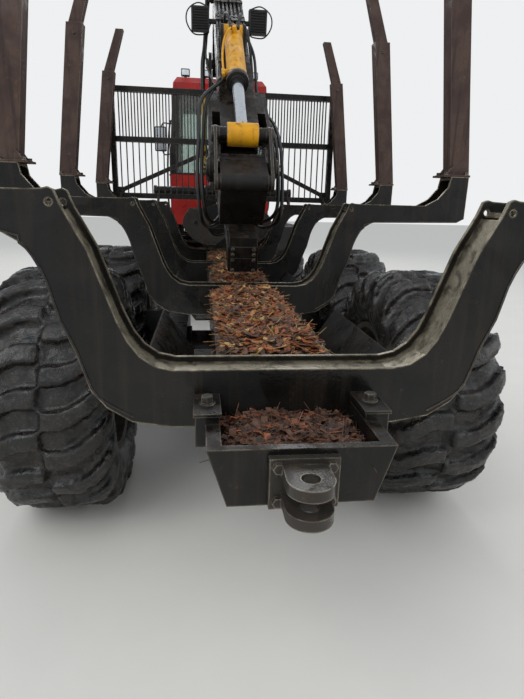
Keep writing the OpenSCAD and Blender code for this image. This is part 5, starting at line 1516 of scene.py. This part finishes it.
@dataclass
class CabInside:
    """The driver's seat, armrests with levers, console, display and floor mat."""

    floor: float = 1.4455
    seat: float = 6.780
    arm_x: float = 0.35

    def cushion(self, low: Point, high: Point, name: str, crown: float, seams: Sequence[float], axis: int,
                ) -> bpy.types.Object:
        """A crowned cushion whose sides pull in between its corners, with sewn channels.

        Args:
            low: lowest corner of the room it fills.
            high: highest corner.
            name: its name.
            crown: how far its broad face rises in its middle.
            seams: places of its channels across its width, from -1 to 1.
            axis: axis square to its broad faces, 1 or 2.
        Returns:
            The cushion.
        """
        obj = only(block(low, high, 0.030, 4))
        bpy.ops.object.mode_set(mode="EDIT")
        bpy.ops.mesh.select_all(action="SELECT")
        bpy.ops.mesh.subdivide(number_cuts=2)
        leave_edit()
        apply_modifier(obj, "SUBSURF", levels=1, render_levels=1)
        mid = (Vector(low) + Vector(high)) / 2
        half = (Vector(high) - Vector(low)) / 2
        flat = [a for a in range(3) if a != axis]
        for vertex in obj.data.vertices:
            r = [(vertex.co[a] - mid[a]) / half[a] for a in range(3)]
            dome = max(0.0, 1 - r[flat[0]] ** 2) * max(0.0, 1 - r[flat[1]] ** 2)
            pull = sum(0.010 * math.exp(-((r[0] - s) / 0.035) ** 2) for s in seams)
            rise = (crown * dome - pull) * math.copysign(min(1.0, abs(r[axis]) * 1.2), r[axis])
            vertex.co[axis] += rise - 0.006 * r[axis]
            for a in flat:
                vertex.co[a] -= 0.012 * r[a] * (1 - min(1.0, abs(r[flat[0]] * r[flat[1]])))
        return join([smooth(obj, 60)], name)

    def arm(self, side: int, y: float) -> list[bpy.types.Object]:
        """One armrest's post, key panel and lever.

        Args:
            side: 1 on the right, -1 on the left.
            y: the seat's middle, in the frame.
        Returns:
            Its parts.
        """
        f, post, x = self.floor, side * 0.285, side * self.arm_x
        parts = [block((post - 0.027, y - 0.06, f + 0.30), (post + 0.027, y + 0.04, f + 0.56), 0.008),
                 block((x - 0.060, y + 0.10, f + 0.600), (x + 0.060, y + 0.27, f + 0.622), 0.008)]
        parts += [block((x - 0.045 + 0.032 * i, y + 0.120 + 0.026 * j, f + 0.620),
                        (x - 0.022 + 0.032 * i, y + 0.138 + 0.026 * j, f + 0.627), 0.002, 1)
                  for i in range(3) for j in range(3)]
        boot = bar((x, y + 0.215, f + 0.615), (x, y + 0.225, f + 0.655), 0.020, 16, far=0.012)
        knob = bar((x, y + 0.222, f + 0.650), (x, y + 0.238, f + 0.742), 0.018, 20, far=0.024, chamfer=0.008)
        return parts + [boot, knob]

    def seat_frame(self) -> None:
        """The seat's foot with its bellows, its pan and both arms."""
        f, y = self.floor, at_y(self.seat)
        base = [bar((0, y, f), (0, y, f + 0.29), 0.150, 32, far=0.105, chamfer=0.008),
                block((-0.24, y - 0.23, f + 0.262), (0.24, y + 0.22, f + 0.292), 0.008)]
        base += [bar((0, y, f + 0.05 + 0.04 * i), (0, y, f + 0.068 + 0.04 * i), 0.152 - 0.007 * i, 32,
                     chamfer=0.006) for i in range(5)]
        for side in (-1, 1):
            base += self.arm(side, y)
        piece(base, "seat_frame", "front", "cab_trim", soft=35)

    def cushions(self) -> None:
        """The seat's padded pieces; the solids of the cab's inside are hidden."""
        f, y = self.floor, at_y(self.seat)
        seat = self.cushion((-0.26, y - 0.24, f + 0.292), (0.26, y + 0.26, f + 0.405), "seat_cushion", 0.018,
                            (-0.5, 0.5), 2)
        back = self.cushion((-0.24, -0.055, 0.0), (0.24, 0.055, 0.640), "seat_back", 0.016, (-0.55, 0.55), 1)
        rest = self.cushion((-0.14, -0.040, 0.0), (0.14, 0.040, 0.180), "seat_headrest", 0.010, (), 1)
        for obj, dy, z in ((back, -0.252, 0.385), (rest, -0.340, 1.003)):
            lean = Matrix.Rotation(math.radians(8), 4, "X")
            obj.data.transform(Matrix.Translation((0, y + dy, f + z)) @ lean)
        arms = [self.cushion((side * self.arm_x - 0.050, y - 0.16, f + 0.545),
                             (side * self.arm_x + 0.050, y + 0.10, f + 0.600),
                             f"armrest_{name}", 0.006, (), 2) for name, side in SIDES]
        for obj in [seat, back, rest] + arms:
            dress(obj, "front", "cab_trim")
        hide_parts("cab_interior")

    def console(self) -> None:
        """The console with its display, the pedals and the floor mat."""
        f = self.floor
        desk = block((-0.33, at_y(7.40), f), (0.33, at_y(7.62), f + 0.54), 0.030, 3)
        pick_faces(desk, lambda c, n: n.z > 0.9)
        bpy.ops.transform.rotate(value=0.22, orient_axis="X", center_override=(0, at_y(7.62), f + 0.54))
        leave_edit()
        screen = block((-0.13, at_y(7.395), f + 0.62), (0.13, at_y(7.425), f + 0.80), 0.012, 3)
        parts = [desk, inset(screen, 1, -1, 0.016, -0.004),
                 bar((0, at_y(7.50), f + 0.50), (0, at_y(7.42), f + 0.66), 0.022, 16),
                 block((-0.60, at_y(6.10), f - 0.0004), (0.60, at_y(7.38), f + 0.006), 0.002)]
        for x in (-0.16, 0.16):
            parts.append(block((x - 0.05, at_y(7.24), f + 0.03), (x + 0.05, at_y(7.27), f + 0.20), 0.010))
            parts.append(bar((x, at_y(7.262), f + 0.10), (x, at_y(7.41), f + 0.12), 0.012, 12))
        piece(parts, "console", "front", "cab_trim", soft=35)

    def build(self) -> None:
        """Makes the cab's inside."""
        self.seat_frame()
        self.cushions()
        self.console()


# ---- nose ------------------------------------------------------------------------------------

def wire(a: Point, b: Point) -> bpy.types.Object:
    """One wire of a mesh behind louvres."""
    return bar(a, b, 0.0022, 5)


@dataclass
class Nose:
    """Hood latches and lamps, the mesh behind its louvres, the engine's fittings and the fenders' treads."""

    rear: float = 7.830
    front: float = 9.000
    half: float = 0.560
    mesh: float = 0.035
    fender_top: float = 1.3968
    flap: tuple = (1.060, 1.392)

    def hood_parts(self) -> None:
        """Latches and handles on the hood's sides."""
        parts = []
        for side in (-1, 1):
            x = side * self.half
            for y in (at_y(7.95), at_y(8.80)):
                parts.append(block((x - 0.012, y - 0.022, 1.330), (x + 0.012, y + 0.022, 1.440), 0.005))
                parts.append(tube([(x + side * 0.010, y, 1.425), (x + side * 0.022, y, 1.400),
                                   (x + side * 0.018, y, 1.345)], 0.006, 5, 1))
            parts.append(tube([(x + side * out, at_y(y), 1.925) for out, y in
                               ((0, 8.30), (0.035, 8.30), (0.035, 8.46), (0, 8.46))], 0.009, 5, 1))
        piece(parts, "hood_latches", "hood", "black_paint")

    def hood_mesh(self) -> None:
        """Wire mesh behind the louvres of the hood's sides and nose."""
        wires, step = [], self.mesh
        for side in (-1, 1):
            x = side * (self.half - 0.026)
            for i in range(17):
                wires.append(wire((x, at_y(8.07 + step * i), 1.48), (x, at_y(8.07 + step * i), 1.87)))
            for i in range(11):
                wires.append(wire((x, at_y(8.07), 1.495 + step * i), (x, at_y(8.64), 1.495 + step * i)))
        y = at_y(self.front - 0.027)
        wires += [wire((-0.42 + step * i, y, 1.365), (-0.42 + step * i, y, 1.800)) for i in range(25)]
        wires += [wire((-0.425, y, 1.380 + step * i), (0.425, y, 1.380 + step * i)) for i in range(12)]
        piece(wires, "hood_mesh", "hood", "black_paint")

    def headlamps(self) -> None:
        """Two round lamps on each side of the hood's nose."""
        dark, lenses = [], []
        for side in (-1, 1):
            for z in (1.46, 1.62):
                back, glass, face, rim = ((side * 0.490, at_y(self.front + d), z)
                                          for d in (-0.006, 0.010, 0.016, 0.022))
                dark.append(inset(bar(back, rim, 0.056, 32, chamfer=0.006), 1, 1, 0.010, -0.010))
                lenses.append(bar(glass, face, 0.044, 32, chamfer=0.003))
        piece(dark, "headlamp_rims", "hood", "lamp_plastic", soft=30)
        piece(lenses, "headlamp_lenses", "hood", "lamp_lens", soft=30)

    def engine_parts(self) -> None:
        """What the open hood shows of the engine: rocker cover, pipes, filter and fan."""
        low, high = at_y(self.rear + 0.150), at_y(self.rear + 0.950)
        parts = [block((-0.15, low + 0.05, 1.758), (0.15, high - 0.08, 1.830), 0.018, 3)]
        for i in range(6):
            y = low + 0.11 + 0.115 * i
            parts.append(tube([(0.14, y, 1.800), (0.21, y, 1.815), (0.25, y + 0.01, 1.790),
                               (0.26, y + 0.02, 1.757)], 0.011, 5, 1))
            parts.append(bar((0, y, 1.828), (0, y, 1.842), 0.014, 6, chamfer=0.002))
        parts.append(bar((0.26, low + 0.05, 1.80), (0.26, high - 0.10, 1.80), 0.042, 20, chamfer=0.006))
        parts.append(bar((-0.24, low + 0.10, 1.845), (-0.24, low + 0.46, 1.845), 0.085, 32, chamfer=0.010))
        parts.append(tube([(-0.24, low + 0.46, 1.845), (-0.24, low + 0.56, 1.840), (-0.20, low + 0.64, 1.80),
                           (-0.15, low + 0.66, 1.76)], 0.040, 5, 2))
        parts.append(bar((0, high, 1.48), (0, high + 0.028, 1.48), 0.10, 28, chamfer=0.006))
        for i in range(8):
            blade = block((-0.018, -0.004, 0.06), (0.018, 0.004, 0.24), 0.002)
            blade.data.transform(Matrix.Translation((0, high + 0.016, 1.48))
                                 @ Matrix.Rotation(i * math.pi / 4, 4, "Y") @ Matrix.Rotation(0.5, 4, "Z"))
            parts.append(blade)
        piece(parts, "engine_fittings", "front", "bare_steel", soft=35)

    def radiator(self) -> None:
        """The radiator in front of the fan, with its tank and fins."""
        y = at_y(self.rear + 0.950) + 0.055
        cooler = [block((-0.36, y, 1.230), (0.36, y + 0.060, 1.790), 0.006),
                  block((-0.38, y - 0.006, 1.790), (0.38, y + 0.066, 1.840), 0.010, 3)]
        cooler += [block((-0.34, y + 0.058, z), (0.34, y + 0.066, z + 0.006), 0.001, 1)
                   for z in (1.25 + 0.022 * i for i in range(24))]
        piece(cooler, "radiator", "front", "black_paint")

    def exhaust(self) -> None:
        """The pierced guard round the exhaust stack, and its flap."""
        x, y = 0.300, at_y(self.rear - 0.055)
        guard = bar((x, y, 2.05), (x, y, 2.60), 0.052, 28)
        pick_faces(guard, lambda c, n: abs(n.z) < 0.5)
        bpy.ops.mesh.inset(thickness=0.004, use_individual=True)
        bpy.ops.mesh.extrude_region_shrink_fatten(TRANSFORM_OT_shrink_fatten={"value": -0.003})
        leave_edit()
        flap = bar((x, y, 2.748), (x, y + 0.012, 2.757), 0.046, 28, chamfer=0.002)
        piece([guard, flap], "exhaust_guard", "front", "bare_steel")

    def treads(self) -> None:
        """Raised tread bars on the fenders' tops."""
        clear()
        bpy.ops.mesh.primitive_cylinder_add(vertices=6, radius=1.0, depth=1.0)
        lozenge = bpy.context.object
        lozenge.scale = (0.016, 0.0045, 0.0024)
        settle(lozenge)
        places = [Matrix.Translation((side * (0.76 + 0.036 * i), at_y(y0 + 0.045 * j), self.fender_top))
                  @ Matrix.Rotation(math.pi / 4 if (i + j) % 2 else -math.pi / 4, 4, "Z")
                  for y0, y1 in ((6.10, 7.62), (7.90, 8.90)) for side in (-1, 1)
                  for i in range(14) for j in range(int((y1 - y0) / 0.045))]
        dress(repeat(lozenge, places, "fender_treads"), "front", "black_paint")

    def flaps(self) -> None:
        """Rubber flaps that hang from the fenders' ends and belly out."""
        low, high = self.flap
        flaps = []
        for side in (-1, 1):
            for y, way in ((at_y(6.040), -1), (at_y(8.960), 1)):
                x = side * 0.940
                flap = only(block((x - 0.290, y - 0.005, low), (x + 0.290, y + 0.005, high), 0.002))
                bpy.ops.object.mode_set(mode="EDIT")
                bpy.ops.mesh.select_all(action="SELECT")
                bpy.ops.mesh.subdivide(number_cuts=7)
                leave_edit()
                for vertex in flap.data.vertices:
                    drop = high - vertex.co.z
                    vertex.co.y += way * 0.35 * drop ** 2 + 0.004 * math.sin(vertex.co.x * 22) * drop * 3
                flaps.append(flap)
        piece(flaps, "mud_flaps", "front", "seal_rubber", soft=40)

    def build(self) -> None:
        """Makes all that dresses the nose."""
        self.hood_parts()
        self.hood_mesh()
        self.headlamps()
        self.engine_parts()
        self.radiator()
        self.exhaust()
        self.treads()
        self.flaps()


def main() -> None:
    """Builds the studio and each sub-assembly in order."""
    logging.basicConfig(level=logging.INFO, format="%(name)s: %(message)s")
    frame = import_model()
    Studio().set_up()
    make_finishes()
    dress_frame(frame)
    for assembly in (MudTyre(), *LITTER_BEDS, Crane(), LoadBay(), Running(),
                     CabOutside(), CabInside(), Nose()):
        assembly.build()
        LOG.info("%s made", type(assembly).__name__)


if __name__ == "__main__":
    main()
